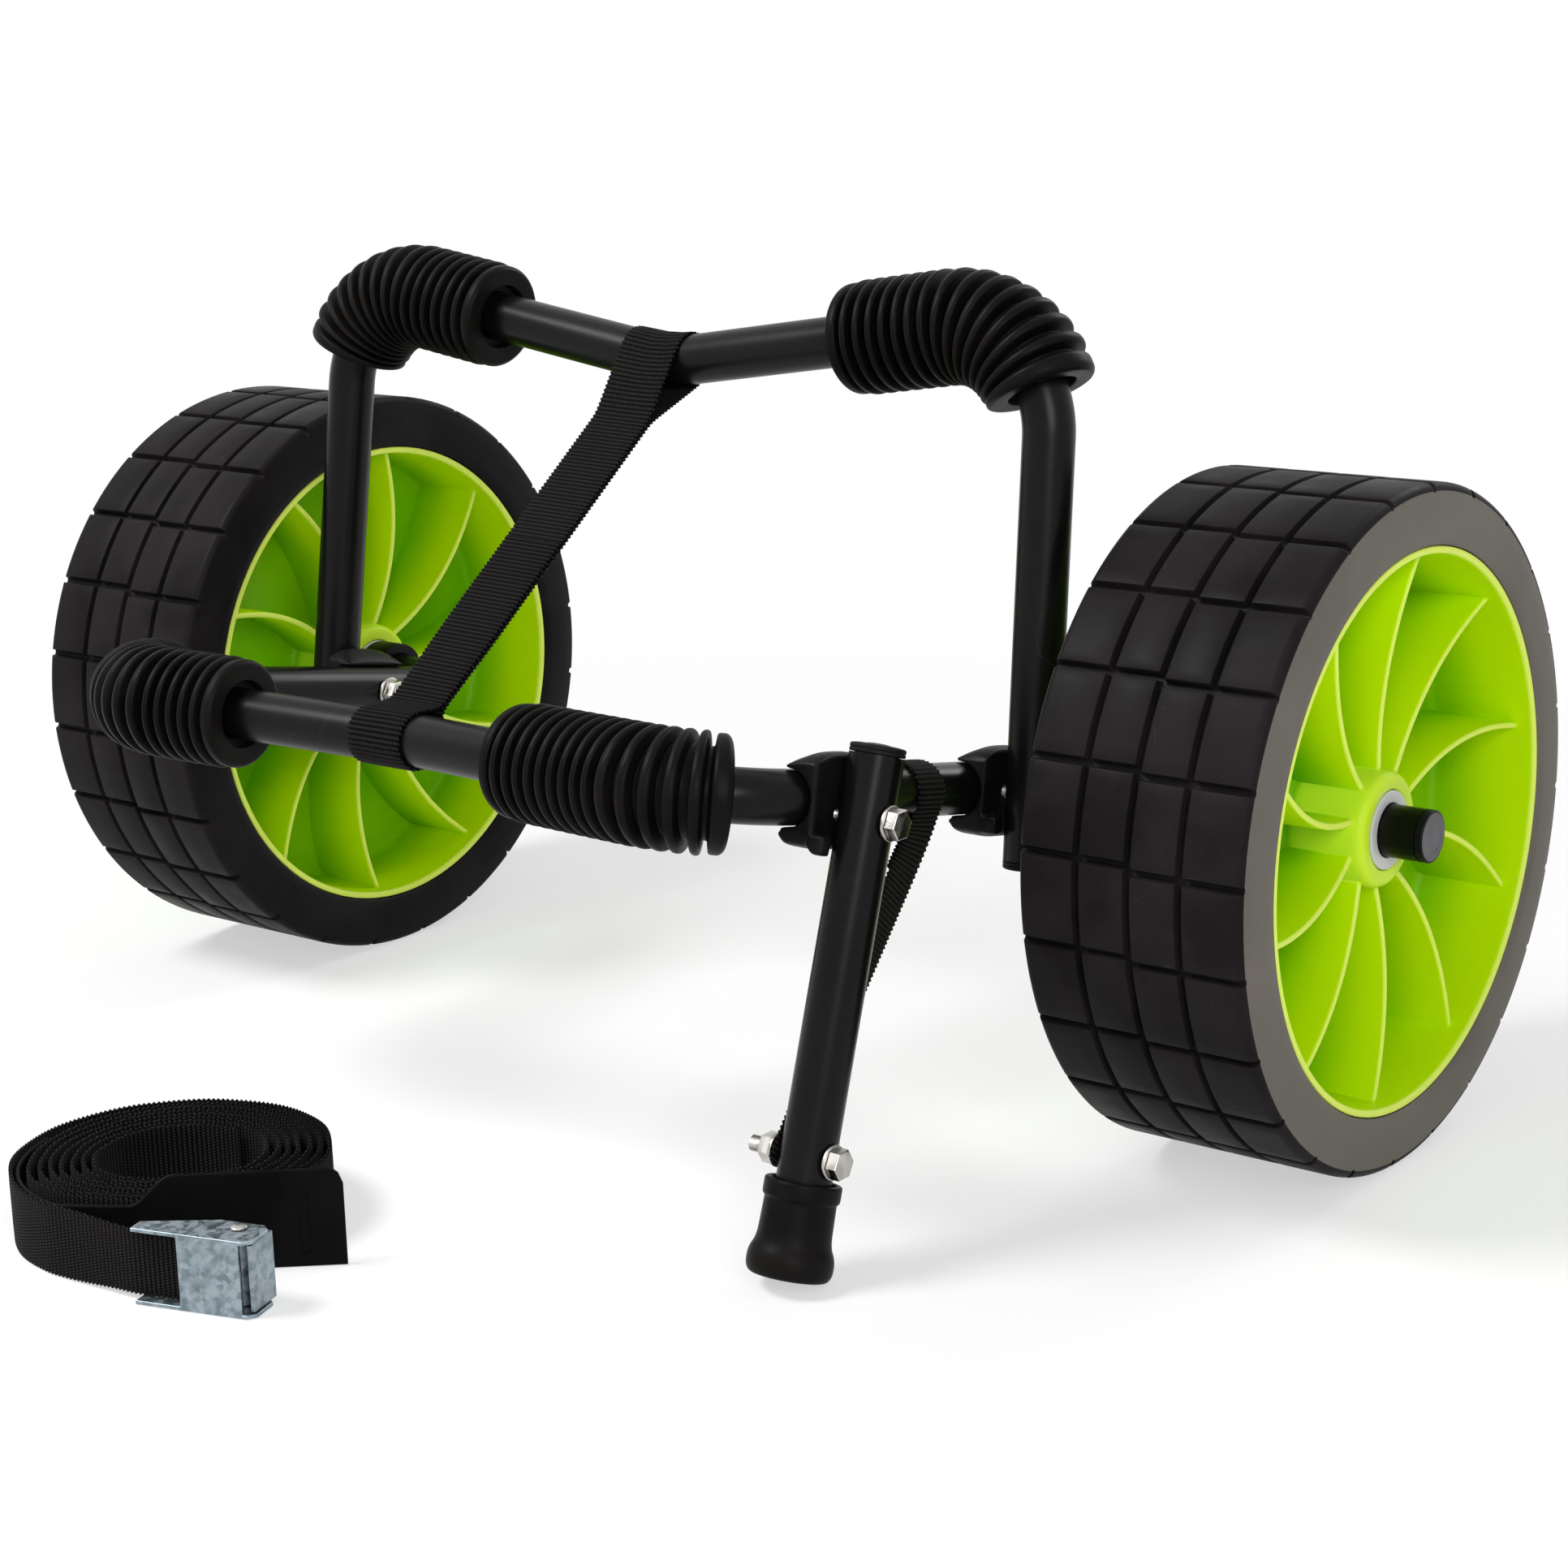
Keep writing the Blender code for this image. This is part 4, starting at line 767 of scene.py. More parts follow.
def plug(name, end, outward, finish, body, node, slot, dome=0.0, side_finish=None):
    """A flanged plug with a faint ring in its face, which may be domed. Its side may have its own finish."""
    base = GAP
    top = PLUG_SEAT
    outline = eased([
        (0, top + dome, 0.0001),
        (TUBE_R * 0.3, top + dome * 0.9, 0.001),
        (TUBE_R * 0.62, top + dome * 0.58 - 0.0003, 0.0006),
        (TUBE_R * 0.68, top + dome * 0.5, 0.0006),
        (TUBE_R, top, PLUG_EDGE),
        (TUBE_R, base + 0.0016, 0.0001),
        (TUBE_R - 0.0003, base + 0.0014, 0.0001),
        (TUBE_R, base + 0.0012, 0.0001),
        (TUBE_R, base, 0.0002),
        (PLUG_SHANK_R, base),
        (PLUG_SHANK_R, base - PLUG_SHANK),
        (0, base - PLUG_SHANK),
    ])
    bm = lathe(outline, 48)
    if side_finish:
        for face in bm.faces:
            centre = face.calc_center_median()
            on_side = hypot(centre.x, centre.y) > TUBE_R - PLUG_EDGE or centre.z < base
            face.material_index = 1 if on_side else 0
    return piece(name, moved(bm, along(outward, end)), finish, body, [node], slot, second_finish=side_finish)


def tubes():
    bent_tube("bent_axle_hoop", AXLE_TRACK, "axle_frame", "axle_hoop")
    bent_tube("bent_cradle_hoop", CRADLE_TRACK, "cradle", "cradle_hoop")
    straight = Track([(KICK_TOP, 0), (KICK_BOTTOM, 0)], X)
    bent_tube("kickstand_leg", straight, "kickstand", "kickstand_tube")
    for tag, side in SIDES.items():
        end = arm_point(side * AXLE_END, 0)
        plug(f"axle_tip_{tag}", end, X * side, GREY_PLUG, "axle_frame", f"axle_plug_{tag}", "grey_plug",
             side_finish=BLACK_PLASTIC)
        down = leg_point(side, -LEG_END) - leg_point(side, 0)
        plug(f"leg_end_{tag}", leg_point(side, -LEG_END), down, BLACK_PLASTIC, "cradle", f"leg_cap_{tag}",
             "black_plastic")
    plug("kickstand_top", KICK_TOP, KICK_DIR, BLACK_PLASTIC, "kickstand", "kickstand_cap", "black_plastic",
         dome=KICK_CAP_DOME)


# Ribbed grips
def grip_outline():
    """The section of a grip: a sunk mouth round the tube, a bevelled collar, the ribs and a collar."""
    first = GRIP_COLLAR + GRIP_STEP
    total = 2 * first + RIBS * RIB_PITCH
    lip = [
        (BORE_R, GRIP_MOUTH),
        (GRIP_MOUTH_R - 0.0004, GRIP_MOUTH, 0.0006),
        (GRIP_MOUTH_R, 0.0001, 0.0005),
        (GRIP_COLLAR_R - GRIP_BEVEL, 0.0, 0.0007),
        (GRIP_COLLAR_R, GRIP_BEVEL, 0.0008),
        (GRIP_COLLAR_R, GRIP_COLLAR, 0.0012),
        (GRIP_VALLEY_R, GRIP_COLLAR + 0.0006, 0.0005),
    ]
    corners = list(lip)
    for i in range(RIBS):
        start = first + i * RIB_PITCH
        corners += [
            (GRIP_VALLEY_R, start + RIB_FOOT[0], 0.0005),
            (GRIP_R, start + RIB_CREST[0], RIB_ROUND),
            (GRIP_R, start + RIB_CREST[1], RIB_ROUND),
            (GRIP_VALLEY_R, start + RIB_FOOT[1], 0.0005),
        ]
    corners += [(r, total - h, *rest) for r, h, *rest in reversed(lip)]
    return eased(corners, steps=3), total


def grip(name, track, tag, from_middle, body, node):
    outline, length = grip_outline()
    half = track.length / 2
    start = half + from_middle if tag == "right" else half - from_middle - length
    bm = track.carry(lathe(outline, 56), start)
    return piece(name, bm, GRIP_RUBBER, body, [node], "grip_rubber", sharp=60)


def grips():
    for tag in SIDES:
        grip(f"ribbed_front_grip_{tag}", AXLE_TRACK, tag, FRONT_HALF - FRONT_GRIP[tag], "axle_frame",
             f"front_grip_{tag}")
        grip(f"ribbed_cradle_grip_{tag}", CRADLE_TRACK, tag, TOP_HALF - CRADLE_GRIP[tag], "cradle",
             f"cradle_grip_{tag}")


# Wheels
def sunk(inside):
    """The share of a groove's depth at a distance inside its wall."""
    if inside <= GROOVE_WALL[0][0]:
        return 0.0
    for (a, low), (b, high) in zip(GROOVE_WALL, GROOVE_WALL[1:]):
        if inside <= b:
            return low + (high - low) * (inside - a) / (b - a)
    return 1.0


def groove_marks(centre, width):
    half = width / 2
    walls = [d for d, _ in GROOVE_WALL]
    return [centre - half + d for d in walls] + [centre + half - d for d in reversed(walls)]


def tyre(tag, place):
    """Blocks in four columns, set off from each other at the middle groove and cut through the shoulders.

    The outer wall is painted lighter grey, painted light; the wall toward the cart keeps the tread rubber.
    """
    pitch = 2 * pi * TYRE_R / TREAD_ROWS
    middles = [TREAD_HALF * m for m in (-0.5, 0, 0.5)]
    turns = groove_marks(0, CROSS_GROOVE) + [pitch * share for share in (0.2, 0.35, 0.5, 0.65, 0.8)]
    half = TYRE_W / 2
    turned = [radians(d) for d in range(84, -1, -12)]
    arc = [(TYRE_R - SHOULDER * (1 - cos(a)), -TREAD_HALF - SHOULDER * sin(a)) for a in turned]
    wall = [
        (RIM_R + GAP, -half + 0.0014),
        (RIM_R + 0.0012, -half + 0.0004),
        (RIM_R + 0.005, -half),
        (TYRE_R - SHOULDER - 0.006, -half + 0.0003),
        (TYRE_R - SHOULDER - 0.002, -half + 0.0009),
    ]
    flats = []
    for centre in middles:
        flats += groove_marks(centre, TREAD_GROOVE)
    flats += [TREAD_HALF * m for m in (-0.75, -0.25, 0.25, 0.75)]
    near_side = wall + arc
    far_side = [(r, -h) for r, h in reversed(near_side)]
    section = near_side + [(TYRE_R, h) for h in sorted(flats)] + far_side + near_side[:1]

    def at(column, row):
        lap, step = divmod(column, len(turns))
        radius, height = section[row]
        around = turns[step]
        cross = sunk(CROSS_GROOVE / 2 - abs(around if around < pitch / 2 else around - pitch))
        rings = max(sunk(TREAD_GROOVE / 2 - abs(height - centre)) for centre in middles)
        radius = min(radius, TYRE_R - TREAD_DEPTH * max(cross, rings))
        slide = TREAD_STEP * min(max(height / TREAD_GROOVE + 0.5, 0), 1)
        angle = (lap * pitch + around + slide) / TYRE_R + TREAD_TURN[tag]
        return Vector((radius * cos(angle), radius * sin(angle), height))

    bm = grid_of(TREAD_ROWS * len(turns), len(section) - 1, at)
    for face in bm.faces:
        centre = face.calc_center_median()
        # Faces of the outer wall get the lighter grey, which is painted light
        on_lit_wall = hypot(centre.x, centre.y) < TYRE_R - TREAD_DEPTH - 0.0002 and centre.z > TREAD_HALF
        face.material_index = 1 if on_lit_wall else 0
    piece(f"block_tyre_{tag}", moved(bm, place), TREAD_RUBBER, f"wheel_{tag}", [f"tyre_{tag}"],
          "tyre_rubber", sharp=50, second_finish=LIT_WALL_RUBBER)


ROUNDED = [(cos(radians(a)), sin(radians(a))) for a in (0, 30, 60, 90)]
BLADE_SECTION = [
    (1.35, 0, 0), *[(c, 1, s) for c, s in ROUNDED], *[(-c, 1, s) for c, s in reversed(ROUNDED)],
    (-1.35, 0, 0), *[(-c, -1, s) for c, s in ROUNDED], *[(c, -1, s) for c, s in reversed(ROUNDED)],
    (1.35, 0, 0),
]


def blade(bm, turn):
    """A bowed wall from the hub to the drum, with a rounded crest on each side of the web."""
    start = HUB_R - BLADE_INTO_HUB
    end = RIM_R - RIM_WALL / 2
    half = BLADE_T / 2

    def at(column, row):
        offset, side, lift = BLADE_SECTION[row]
        share = column / BLADE_STEPS
        slope = (BLADE_BOW * 4 * (1 - 2 * share) - BLADE_LAG) / (end - start)
        aside = BLADE_BOW * 4 * share * (1 - share) - BLADE_LAG * share
        crest = BLADE_ROOT + (BLADE_TIP - BLADE_ROOT) * share - half
        x = start + (end - start) * share - offset * half * slope / hypot(1, slope)
        y = aside + offset * half / hypot(1, slope)
        return Matrix.Rotation(turn, 3, "Z") @ Vector((x, y, side * (crest + half * lift)))

    grid_of(BLADE_STEPS, len(BLADE_SECTION) - 1, at, bm)


def rim(tag, place):
    inner = RIM_R - RIM_WALL
    web = WEB_T / 2
    hub = HUB_W / 2
    bore = BUSHING_R + GAP
    upper = [
        (bore, hub, 0.0008),
        (HUB_R, hub, HUB_ROUND),
        (HUB_R + HUB_DRAFT, web, 0.005),
        (inner - RIM_DRAFT, web, 0.004),
        (inner, RIM_EDGE - 0.002, 0.0008),
        (inner + 0.0004, RIM_EDGE, RIM_ROUND),
        (RIM_R, RIM_EDGE, RIM_ROUND),
    ]
    bm = lathe(eased(upper + [(r, -h, e) for r, h, e in reversed(upper)], closed=True), 160)
    for k in range(BLADES):
        blade(bm, 2 * pi * k / BLADES + BLADE_TURN[tag])
    piece(f"bladed_rim_{tag}", moved(bm, place), LIME_PLASTIC, f"wheel_{tag}", [f"rim_{tag}"],
          "lime_plastic", sharp=50)


def ring(name, place, outer, inner, low, high, rounding, finish, body, node, slot):
    corners = [(r, h, rounding) for r, h in ((outer, high), (outer, low), (inner, low), (inner, high))]
    bm = lathe(eased(corners, closed=True, steps=3), 64)
    return piece(name, moved(bm, place), finish, body, [node], slot)


def wheels():
    for tag, side in SIDES.items():
        place = along(X * side, AXLE + X * side * WHEEL_X)
        tyre(tag, place)
        rim(tag, place)
        face = HUB_W / 2 + BUSHING_LIP
        body = f"wheel_{tag}"
        ring(f"hub_bearing_{tag}", place, BUSHING_R, BORE_R, face - BUSHING_LEN, face, BUSHING_ROUND,
             PALE_PLASTIC, body, f"outer_bushing_{tag}", "pale_plastic")
        ring(f"back_bearing_{tag}", place, BUSHING_R, BORE_R, -face, BUSHING_LEN - face, BUSHING_ROUND,
             PALE_PLASTIC, body, f"inner_bushing_{tag}", "pale_plastic")
        ring(f"bend_washer_{tag}", along(X * side, AXLE), BUSHING_R, BORE_R, THRUST_X, THRUST_END,
             BUSHING_ROUND, BLACK_PLASTIC, "axle_frame", f"thrust_washer_{tag}", "black_plastic")


# Fasteners
def hexagon(bm, low, high, rounded_low):
    """A hexagonal prism between two heights, its outer edges eased."""
    place = Matrix.Translation((0, 0, (low + high) / 2))
    made = bmesh.ops.create_cone(
        bm, cap_ends=True, segments=6, radius1=HEAD_R, radius2=HEAD_R, depth=high - low, matrix=place,
    )
    edges = {e for v in made["verts"] for e in v.link_edges}
    rims = [e for e in edges if all(v.co.z > high - 0.0001 for v in e.verts)]
    if rounded_low:
        rims += [e for e in edges if all(v.co.z < low + 0.0001 for v in e.verts)]
    bmesh.ops.bevel(bm, geom=rims, offset=0.0006, segments=3, profile=0.5, affect="EDGES", material=-1)
    return bm


def thread(low, high):
    """The outline of a threaded rod between two heights."""
    count = int((high - low) / THREAD_PITCH)
    points = [(0, low), (BOLT_R - 0.0006, low)]
    for i in range(count):
        points.append((BOLT_R, low + (i + 0.5) * THREAD_PITCH))
        points.append((BOLT_R - THREAD_DEPTH, low + (i + 1) * THREAD_PITCH))
    return points + [(BOLT_R, high - 0.0001), (0, high)]


def pivot_fasteners(side, at, body, bolt, nut, *washers):
    """The bolt, nut and washers through one pivot, each over its CAD node."""
    place = along(X * side, at)

    def span(node):
        low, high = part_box(node)
        return sorted((side * low.x, side * high.x))

    tip, top = span(bolt)
    bm = lathe(thread(tip, top - HEAD_T), 32)
    hexagon(bm, top - HEAD_T, top, False)
    piece(f"hex_{bolt}", moved(bm, place), STEEL, body, [bolt], "steel", sharp=25)
    bm = hexagon(bmesh.new(), *span(nut), True)
    piece(f"hex_{nut}", moved(bm, place), STEEL, body, [nut], "steel", sharp=25)
    for node in washers:
        outer = extent(node).z / 2
        ring(f"flat_{node}", place, outer, BOLT_R, *span(node), 0.0004, STEEL, body, node, "steel")


def fasteners():
    for tag, side in SIDES.items():
        pivot_fasteners(side, CRADLE_PIVOT, "axle_frame", f"cradle_bolt_{tag}", f"cradle_nut_{tag}",
                        f"cradle_washer_{tag}", f"arm_washer_{tag}")
    pivot_fasteners(1, KICK_PIVOT, "axle_frame", "kickstand_bolt", "kickstand_nut", "kickstand_washer")
    pivot_fasteners(1, STAY_BOLT, "kickstand", "stay_bolt", "stay_nut", "stay_head_washer",
                    "stay_nut_washer")


def snap_buttons():
    for tag, side in SIDES.items():
        top = TUBE_R + BUTTON_OUT
        inside = TUBE_R - BUTTON_IN
        outline = eased([(0, top), (BUTTON_R, top, 0.0024), (BUTTON_R, inside), (0, inside)], steps=6)
        bm = moved(lathe(outline, 40), along(Y, AXLE + X * side * BUTTON_X))
        piece(f"domed_button_{tag}", bm, STEEL, f"button_{tag}", [f"snap_button_{tag}"], "steel")
        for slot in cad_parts[f"leaf_spring_{tag}"].material_slots:
            slot.material = STEEL


def saddle_ends(bm, node):
    """Draws a saddle's top and bottom toward the arm at its ends, but not beside the swinging tube."""
    middle_at = middle(node)
    side = 1 if middle_at.x > 0 else -1
    arm = arm_point(side * ARM_X, (middle_at - AXLE).dot(ARM_DIR))
    for vert in bm.verts:
        away = vert.co - arm
        share = min(abs(away.dot(ARM_DIR)) / (SADDLE_LEN / 2), 1)
        high = away.dot(ARM_UP)
        beyond = abs(high) - SADDLE_SHELL
        if beyond > 0 and abs(away.x) < SADDLE_FLANK:
            kept = (1 - share**SADDLE_TOP_ROUND) ** 0.5 if high > 0 else 1 - SADDLE_TUCK * share**4
            vert.co -= ARM_UP * (1 if high > 0 else -1) * beyond * (1 - kept)


def saddles():
    """The moulded blocks, their stops and chamfers melted into smooth domes."""
    for node in ("arm_saddle_left", "arm_saddle_right", "kickstand_saddle"):
        bm = editable(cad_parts[node].data)
        made = piece(f"moulded_{node}", bm, BLACK_PLASTIC, "axle_frame", [node], "black_plastic", sharp=180)
        even = made.modifiers.new("even faces", "REMESH")
        even.mode = "VOXEL"
        even.voxel_size = SADDLE_GRAIN
        even.use_smooth_shade = True
        apply_modifiers(made)
        bm = editable(made.data)
        saddle_ends(bm, node)
        for _ in range(SADDLE_MELT):
            bmesh.ops.smooth_vert(
                bm, verts=bm.verts, factor=0.5, use_axis_x=True, use_axis_y=True, use_axis_z=True,
            )
        bm.to_mesh(made.data)
        bm.free()


def foot():
    """A rubber boot with a thick rolled lip, a waist and a flared sole, cut flat on the floor."""
    outline = eased([
        (0, FOOT_SOLE),
        (BORE_R, FOOT_SOLE),
        (BORE_R, FOOT_LEN - 0.0026),
        (BORE_R + 0.0010, FOOT_LEN - 0.0022, 0.0003),
        (BORE_R + 0.0013, FOOT_LEN, 0.0006),
        (FOOT_LIP_R, FOOT_LEN, 0.0012),
        (FOOT_LIP_R, FOOT_LEN - 0.0060, 0.0012),
        (FOOT_R - 0.0004, FOOT_LEN - 0.0067, 0.0008),
        (FOOT_R, 0.0125, 0.004),
        (FOOT_BASE_R, 0.0080, 0.003),
        (FOOT_BASE_R, 0.0026, 0.002),
        (FOOT_EDGE_R, 0.0, 0.0015),
        (0, 0),
    ], steps=5)
    bm = moved(lathe(outline, 64), along(KICK_DIR, FOOT_BASE))
    for vert in bm.verts:
        vert.co.z = max(vert.co.z, 0.0)
    piece("rubber_foot", bm, GRIP_RUBBER, "kickstand", ["kickstand_foot"], "grip_rubber", sharp=50)


# Webbing
def smooth(share):
    share = min(max(share, 0), 1)
    return share * share * (3 - 2 * share)


BAND_SECTION = [(-1, -0.5), (-0.97, -0.9), (-0.6, -1), (0, -1), (0.6, -1), (0.97, -0.9), (1, -0.5),
                (1, 0.5), (0.97, 0.9), (0.6, 1), (0, 1), (-0.6, 1), (-0.97, 0.9), (-1, 0.5), (-1, -0.5)]


def even_line(points, step):
    """The points of a line set at even distances, with the same ends."""
    marks = [0.0]
    for a, b in zip(points, points[1:]):
        marks.append(marks[-1] + (b - a).length)
    count = max(2, round(marks[-1] / step))
    line = []
    for k in range(count + 1):
        wish = marks[-1] * k / count
        i = min(bisect_right(marks, wish) - 1, len(marks) - 2)
        line.append(points[i].lerp(points[i + 1], (wish - marks[i]) / (marks[i + 1] - marks[i])))
    return line, marks[-1]


def full_width(point):
    return WEBBING_W


def band(points, across_at, closed=False, width_at=full_width):
    """Webbing along a line, with a raised rib at each step and a serrated edge."""
    line, length = even_line(points, RIB_STEP / RIB_POINTS)
    last = len(line) - 1
    heads = []
    for i in range(last + 1):
        before = line[i - 1] if i else (line[last - 1] if closed else line[0])
        after = line[i + 1] if i < last else (line[1] if closed else line[last])
        heads.append((after - before).normalized())

    def at(column, row):
        a, b = BAND_SECTION[row]
        crest = 0.5 + 0.5 * cos(2 * pi * column / RIB_POINTS)
        across = across_at(line[column])
        out = heads[column].cross(across).normalized()
        half = width_at(line[column]) / 2 - SERRATION * (1 - crest)
        thick = WEBBING_T / 2 * (0.58 + 0.42 * crest)
        return line[column] + across * a * half + out * b * thick

    def uv_at(column, row):
        return (BAND_SECTION[row][0] * WEBBING_W / 2, column * length / last)

    bm = grid_of(last, len(BAND_SECTION) - 1, at, uv_at=uv_at)
    return bm if closed else capped(bm)


def tangent_angle(x, y, radius, side):
    """Where a line from an outside point touches a circle round the origin."""
    return atan2(y, x) + side * acos(radius / hypot(x, y))


def bar_loop(start, sweep):
    """A strap's turn round a bar, as (x, y) from the bar's middle."""
    angles = [start + sweep * i / LOOP_STEPS for i in range(LOOP_STEPS + 1)]
    return [(LOOP_R * cos(a), LOOP_R * sin(a)) for a in angles]


def relaxed(points, rounds):
    """The points of an open line with its corners softened."""
    for _ in range(rounds):
        between = [(a + 2 * b + c) / 4 for a, b, c in zip(points, points[1:], points[2:])]
        points = [points[0], *between, points[-1]]
    return points


def spread_strap():
    """A doubled band: a loop on the top bar, a sewn stretch, and a loop on the front bar."""
    low_at = AXLE_TRACK.length / 2 - SPREAD_LOW_ASIDE
    top_at = CRADLE_TRACK.length / 2 - SPREAD_TOP_ASIDE
    low = AXLE_TRACK.at(low_at)[0]
    top = CRADLE_TRACK.at(top_at)[0]
    run = top - low
    up = run.normalized()
    across = (X - up * up.x).normalized()
    front = across.cross(up)
    half = WEBBING_T / 2 + 0.0001
    upper = tangent_angle(half, -SPREAD_TOP_MERGE, LOOP_R, 1)
    lower = tangent_angle(half, SPREAD_LOW_MERGE, LOOP_R, -1)
    outline = [
        (half, run.length / 2),
        (half, run.length - SPREAD_TOP_MERGE),
        *[(f, run.length + u) for f, u in bar_loop(upper, pi - 2 * upper)],
        (-half, run.length - SPREAD_TOP_MERGE),
        (-half, SPREAD_LOW_MERGE),
        *bar_loop(pi - lower, pi + 2 * lower),
        (half, SPREAD_LOW_MERGE),
        (half, run.length / 2),
    ]
    points = [low + front * f + up * u for f, u in outline]
    points, _ = even_line(points, LINE_STEP)

    def width_at(point):
        share = smooth((point - low).dot(up) / SPREAD_WIDEN)
        return SPREAD_LOW_W + (SPREAD_TOP_W - SPREAD_LOW_W) * share

    bm = band(relaxed(points, 4), lambda point: across, closed=True, width_at=width_at)
    for vert in bm.verts:
        height = (vert.co - low).dot(up)
        aside = (vert.co - low).dot(across)
        ends = ((CRADLE_TRACK, top_at, run.length - height), (AXLE_TRACK, low_at, height))
        for track, mark, near in ends:
            beside = track.at(mark + aside)[0] - track.at(mark)[0]
            vert.co += (beside - across * aside) * max(0, 1 - abs(near) / SPREAD_BEND)
    made = piece("woven_spread_strap", bm, WEBBING, None, ["spread_strap"], "webbing", sharp=60)
    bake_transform(made)
    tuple(low)
    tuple(top)


def stay_strap():
    """A band from the stay bolt up to the arm, round it and sewn back on itself."""
    face_x = SIDE_X - TUBE_R - GAP - WEBBING_T / 2
    arm = arm_point(ARM_X, STAY_ARM)
    foot_end = Vector((face_x, STAY_BOLT.y, STAY_BOLT.z))
    climb = Vector((face_x, arm.y, arm.z)) - foot_end
    up = climb.normalized()
    side = up.cross(X)
    reach = climb.length
    loop_start, loop_end, sewn_end = STAY_SEAM
    points = [
        foot_end - up * STAY_PAST_BOLT,
        foot_end + up * (reach - loop_start),
        *[arm + X * x + ARM_UP * y for x, y in bar_loop(*STAY_LOOP)],
        foot_end + up * (reach - loop_end) - X * WEBBING_T,
        foot_end + up * (reach - sewn_end) - X * WEBBING_T,
    ]

    def across_at(point):
        near = min(max(((point - foot_end).dot(up) - reach + STAY_TURN[0]) / STAY_TURN[1], 0), 1)
        return side.lerp(-ARM_DIR if side.dot(ARM_DIR) < 0 else ARM_DIR, near).normalized()

    def width_at(point):
        share = ((point - foot_end).dot(up) + STAY_PAST_BOLT) / (STAY_TAPER + STAY_PAST_BOLT)
        return STAY_END_W + (STAY_W - STAY_END_W) * min(share, 1)

    points, _ = even_line(points, LINE_STEP)
    bm = band(relaxed(points, 4), across_at, width_at=width_at)
    made = piece("woven_stay_strap", bm, WEBBING, None, ["stay_strap"], "webbing", sharp=60)
    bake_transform(made)


# Tie-down strap
def coil_radius(angle):
    """The band's distance from the coil's middle, growing outward with the angle."""
    back = COIL_END - angle
    room = TONGUE_ROOM * smooth((back - radians(80)) / radians(50))
    radius = COIL_R - room - COIL_PITCH * back / (2 * pi)
    facing = max(0, cos(angle - PAD_SIDE))
    return radius * (1 - COIL_SQUEEZE * facing**3 * smooth((back - radians(90)) / radians(60)))


def coil_point(angle, radius):
    return COIL + Vector((cos(angle), sin(angle), 0)) * radius


def buckle_point(u, w):
    return BUCKLE + BUCKLE_U * u + BUCKLE_W * w


def tie_strap():
    start = COIL_END - 2 * pi * COIL_TURNS
    count = round(COIL_TURNS * COIL_STEPS)
    points = []
    for i in range(count + 1):
        angle = start + (COIL_END - start) * i / count
        waver = COIL_WAVER[0] * sin(5.3 * angle) + COIL_WAVER[1] * sin(11.7 * angle + 1)
        points.append(coil_point(angle, coil_radius(angle) + waver) + Z * COIL_W / 2)
    inside = WEBBING_ROOM + WEBBING_T / 2
    lifted = Z * (WEBBING_W / 2 + BUCKLE_LIFT)
    points.append(buckle_point(-BUCKLE_NOSE - WEBBING_ROOM, inside) + lifted)
    points.append(buckle_point(BUCKLE_FRONT_LEN - WEBBING_ROOM, inside) + lifted)
    points, _ = even_line(points, 0.002)

    def width_at(point):
        share = smooth(((point - BUCKLE).xy.length - BUCKLE_FRONT_LEN) / 0.03)
        return WEBBING_W + (COIL_W - WEBBING_W) * share

    bm = band(relaxed(points, 2), lambda point: Z, width_at=width_at)
    piece("coiled_tie_strap", bm, WEBBING, "axle_frame", ["tie_strap"], "webbing", sharp=60)


def cut_away(made, cutter):
    """Takes the cutter's shape out of a piece's mesh."""
    shape = mesh_object("cutter", cutter)
    difference = made.modifiers.new("slot", "BOOLEAN")
    difference.object = shape
    difference.solver = "EXACT"
    apply_modifiers(made)
    bpy.data.objects.remove(shape)


def strap_pad():
    """A smooth rubber pad on edge, its low tongue held under the last turn of the coil."""
    under = COIL_R - TONGUE_ROOM - PAD_T / 4
    tongue = [coil_point(COIL_END - i * radians(5), under) for i in range(15, -1, -1)]
    neck = coil_point(PAD_NECK_DIR, PAD_NECK_R)
    end = neck + Vector((cos(PAD_DIR), sin(PAD_DIR), 0)) * PAD_LEN
    points, length = even_line([*tongue, neck, end], LINE_STEP)
    points = relaxed(points, 3)
    last = len(points) - 1
    neck_at = 1 - PAD_LEN / length
    half = PAD_T / 2

    def at(column, row):
        share = column / last
        head = (points[min(column + 1, last)] - points[max(column - 1, 0)]).normalized()
        out = head.cross(Z)
        high = PAD_TONGUE_H + (PAD_H - PAD_TONGUE_H) * smooth((share - neck_at) / 0.09)
        into_corner = max(0, PAD_CORNER - (1 - share) * length)
        high -= PAD_CORNER - (PAD_CORNER**2 - into_corner**2) ** 0.5
        side = [(0, -0.6), (0.0004, -1), (high - 0.0005, -1), (high, -0.5)]
        z, b = (side + [(z, -b) for z, b in reversed(side)] + side[:1])[row]
        return points[column] + Z * z + out * b * half

    bm = capped(grid_of(last, 8, at))
    made = piece("smooth_strap_pad", bm, PAD_RUBBER, "axle_frame", ["strap_pad"], "pad_rubber", sharp=30)
    along_pad = (end - neck).normalized()
    outward = along_pad.cross(Z)
    middle_at = end - along_pad * PAD_SLOT_IN + Z * PAD_SLOT_Z + outward * PAD_T / 2
    turned = Matrix((along_pad, Z, outward)).transposed().to_4x4()
    straight = PAD_SLOT_H / 2 - PAD_SLOT_R
    cutter = bmesh.new()
    sizes = {"radius1": PAD_SLOT_R, "radius2": PAD_SLOT_R, "depth": 2 * PAD_SLOT_DEEP}
    bmesh.ops.create_cone(cutter, cap_ends=True, segments=32, **sizes)
    for vert in cutter.verts:
        vert.co.y += straight if vert.co.y > 0 else -straight
    moved(cutter, Matrix.Translation(middle_at) @ turned)
    cut_away(made, cutter)


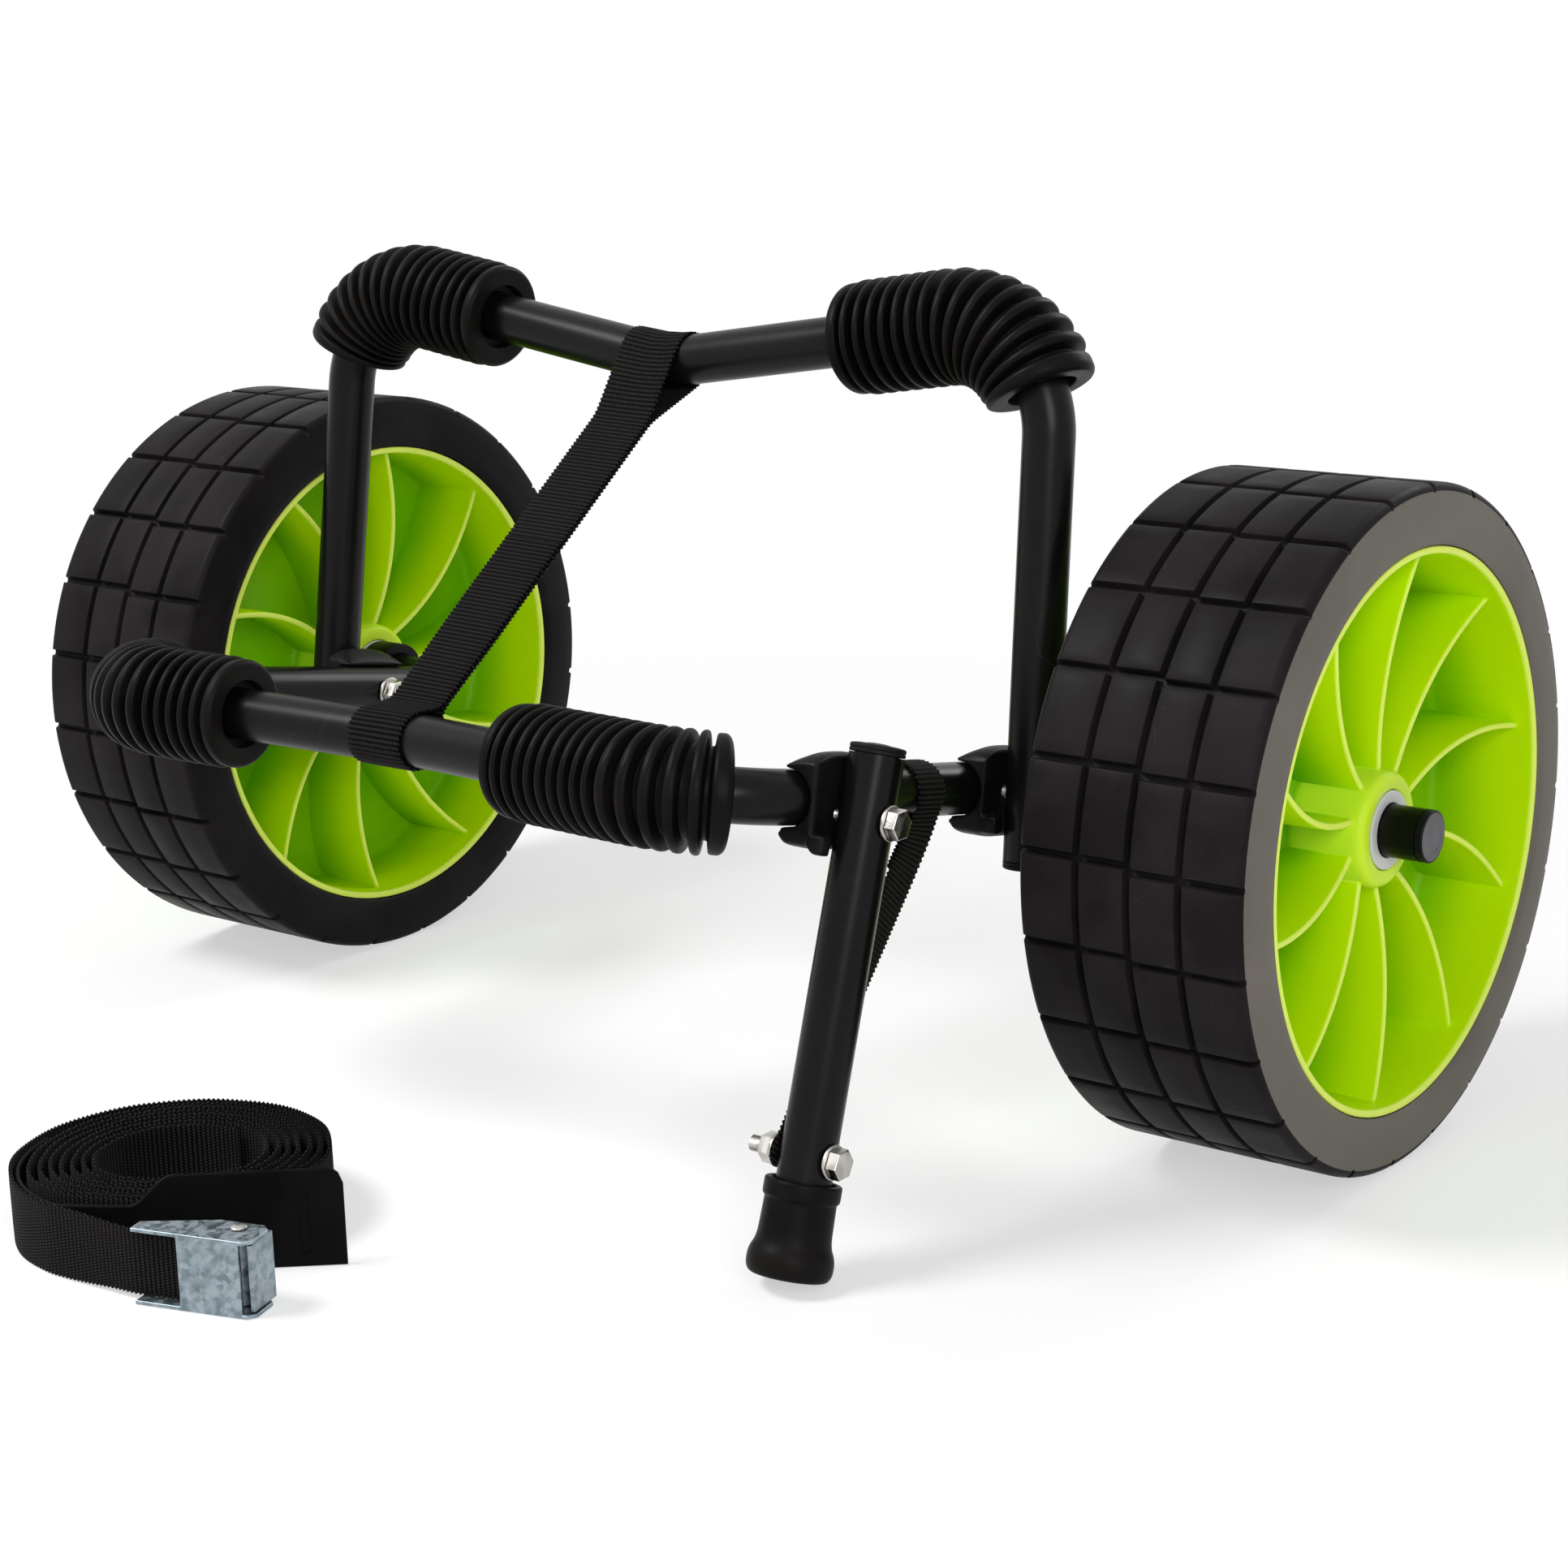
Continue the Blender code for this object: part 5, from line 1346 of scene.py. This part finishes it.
def buckle():
    refined("buckle_frame", ZINC, "axle_frame", "zinc", 0.0004)
    refined("buckle_lever", ZINC, "buckle_lever", "zinc", 0.0004)
    refined("buckle_pin", STEEL, "axle_frame", "steel", 0.0002)
    refined("buckle_spring", STEEL, "axle_frame", "steel", 0.00005, 60)


# Studio
def seen_rays(tree):
    """The rays that show the background: from the camera, off metal and through glass."""
    rays = add_node(tree, "ShaderNodeLightPath").outputs
    bounced = maths(tree, "MAXIMUM", rays["Is Glossy Ray"], rays["Is Transmission Ray"])
    return maths(tree, "MAXIMUM", rays["Is Camera Ray"], bounced)


WORLD_LIGHT = 0.34
FLOOR_COLOUR = (0.92, 0.92, 0.92, 1)
FLOOR_R = 8.0
FLOOR_WHITE = 0.55      # share of plain white seen in the floor near the cart
FLOOR_FADE = (0.35, 1.1)        # from the cart's middle, where the floor turns all white


def studio():
    photo_camera()
    scene = bpy.context.scene
    scene.view_settings.view_transform = "Standard"
    world = bpy.data.worlds.new("studio")
    scene.world = world
    world.use_nodes = True
    tree = world.node_tree
    seen = seen_rays(tree)
    plain = tree.nodes["Background"]
    set_inputs(tree, plain, {"Color": (1, 1, 1, 1), "Strength": WORLD_LIGHT})
    white = add_node(tree, "ShaderNodeBackground", {"Color": (1, 1, 1, 1), "Strength": 1.0})
    mix = add_node(tree, "ShaderNodeMixShader", {0: seen, 1: plain.outputs[0], 2: white.outputs[0]})
    tree.links.new(mix.outputs[0], tree.nodes["World Output"].inputs["Surface"])
    softbox("key", at=(-0.8, -1.0, 1.8), size=0.8, power=38)
    softbox("fill", at=(1.6, -1.3, 1.1), size=1.0, power=18)
    softbox("rim", at=(0.4, 1.9, 1.3), size=1.0, power=12)

    bm = bmesh.new()
    bmesh.ops.create_circle(bm, cap_ends=True, radius=FLOOR_R, segments=64)
    floor = mesh_object("floor", bm)
    made, tree, surface = new_material("pale floor")
    away = vector_maths(tree, "LENGTH", object_place(tree))["Value"]
    set_inputs(tree, surface, {"Base Color": FLOOR_COLOUR, "Roughness": 0.9, "Specular IOR Level": 0.0})
    far = maths(tree, "MULTIPLY", ramp(tree, away, *FLOOR_FADE, FLOOR_WHITE, 1.0), seen_rays(tree))
    white = add_node(tree, "ShaderNodeEmission", {"Color": (1, 1, 1, 1), "Strength": 1.0})
    mix = add_node(tree, "ShaderNodeMixShader", {0: far, 1: surface.outputs[0], 2: white.outputs[0]})
    tree.links.new(mix.outputs[0], tree.nodes["Material Output"].inputs["Surface"])
    floor.data.materials.append(made)
    floor.location.z = -0.0002


studio()
tubes()
grips()
wheels()
fasteners()
snap_buttons()
saddles()
foot()
spread_strap()
stay_strap()
tie_strap()
strap_pad()
buckle()
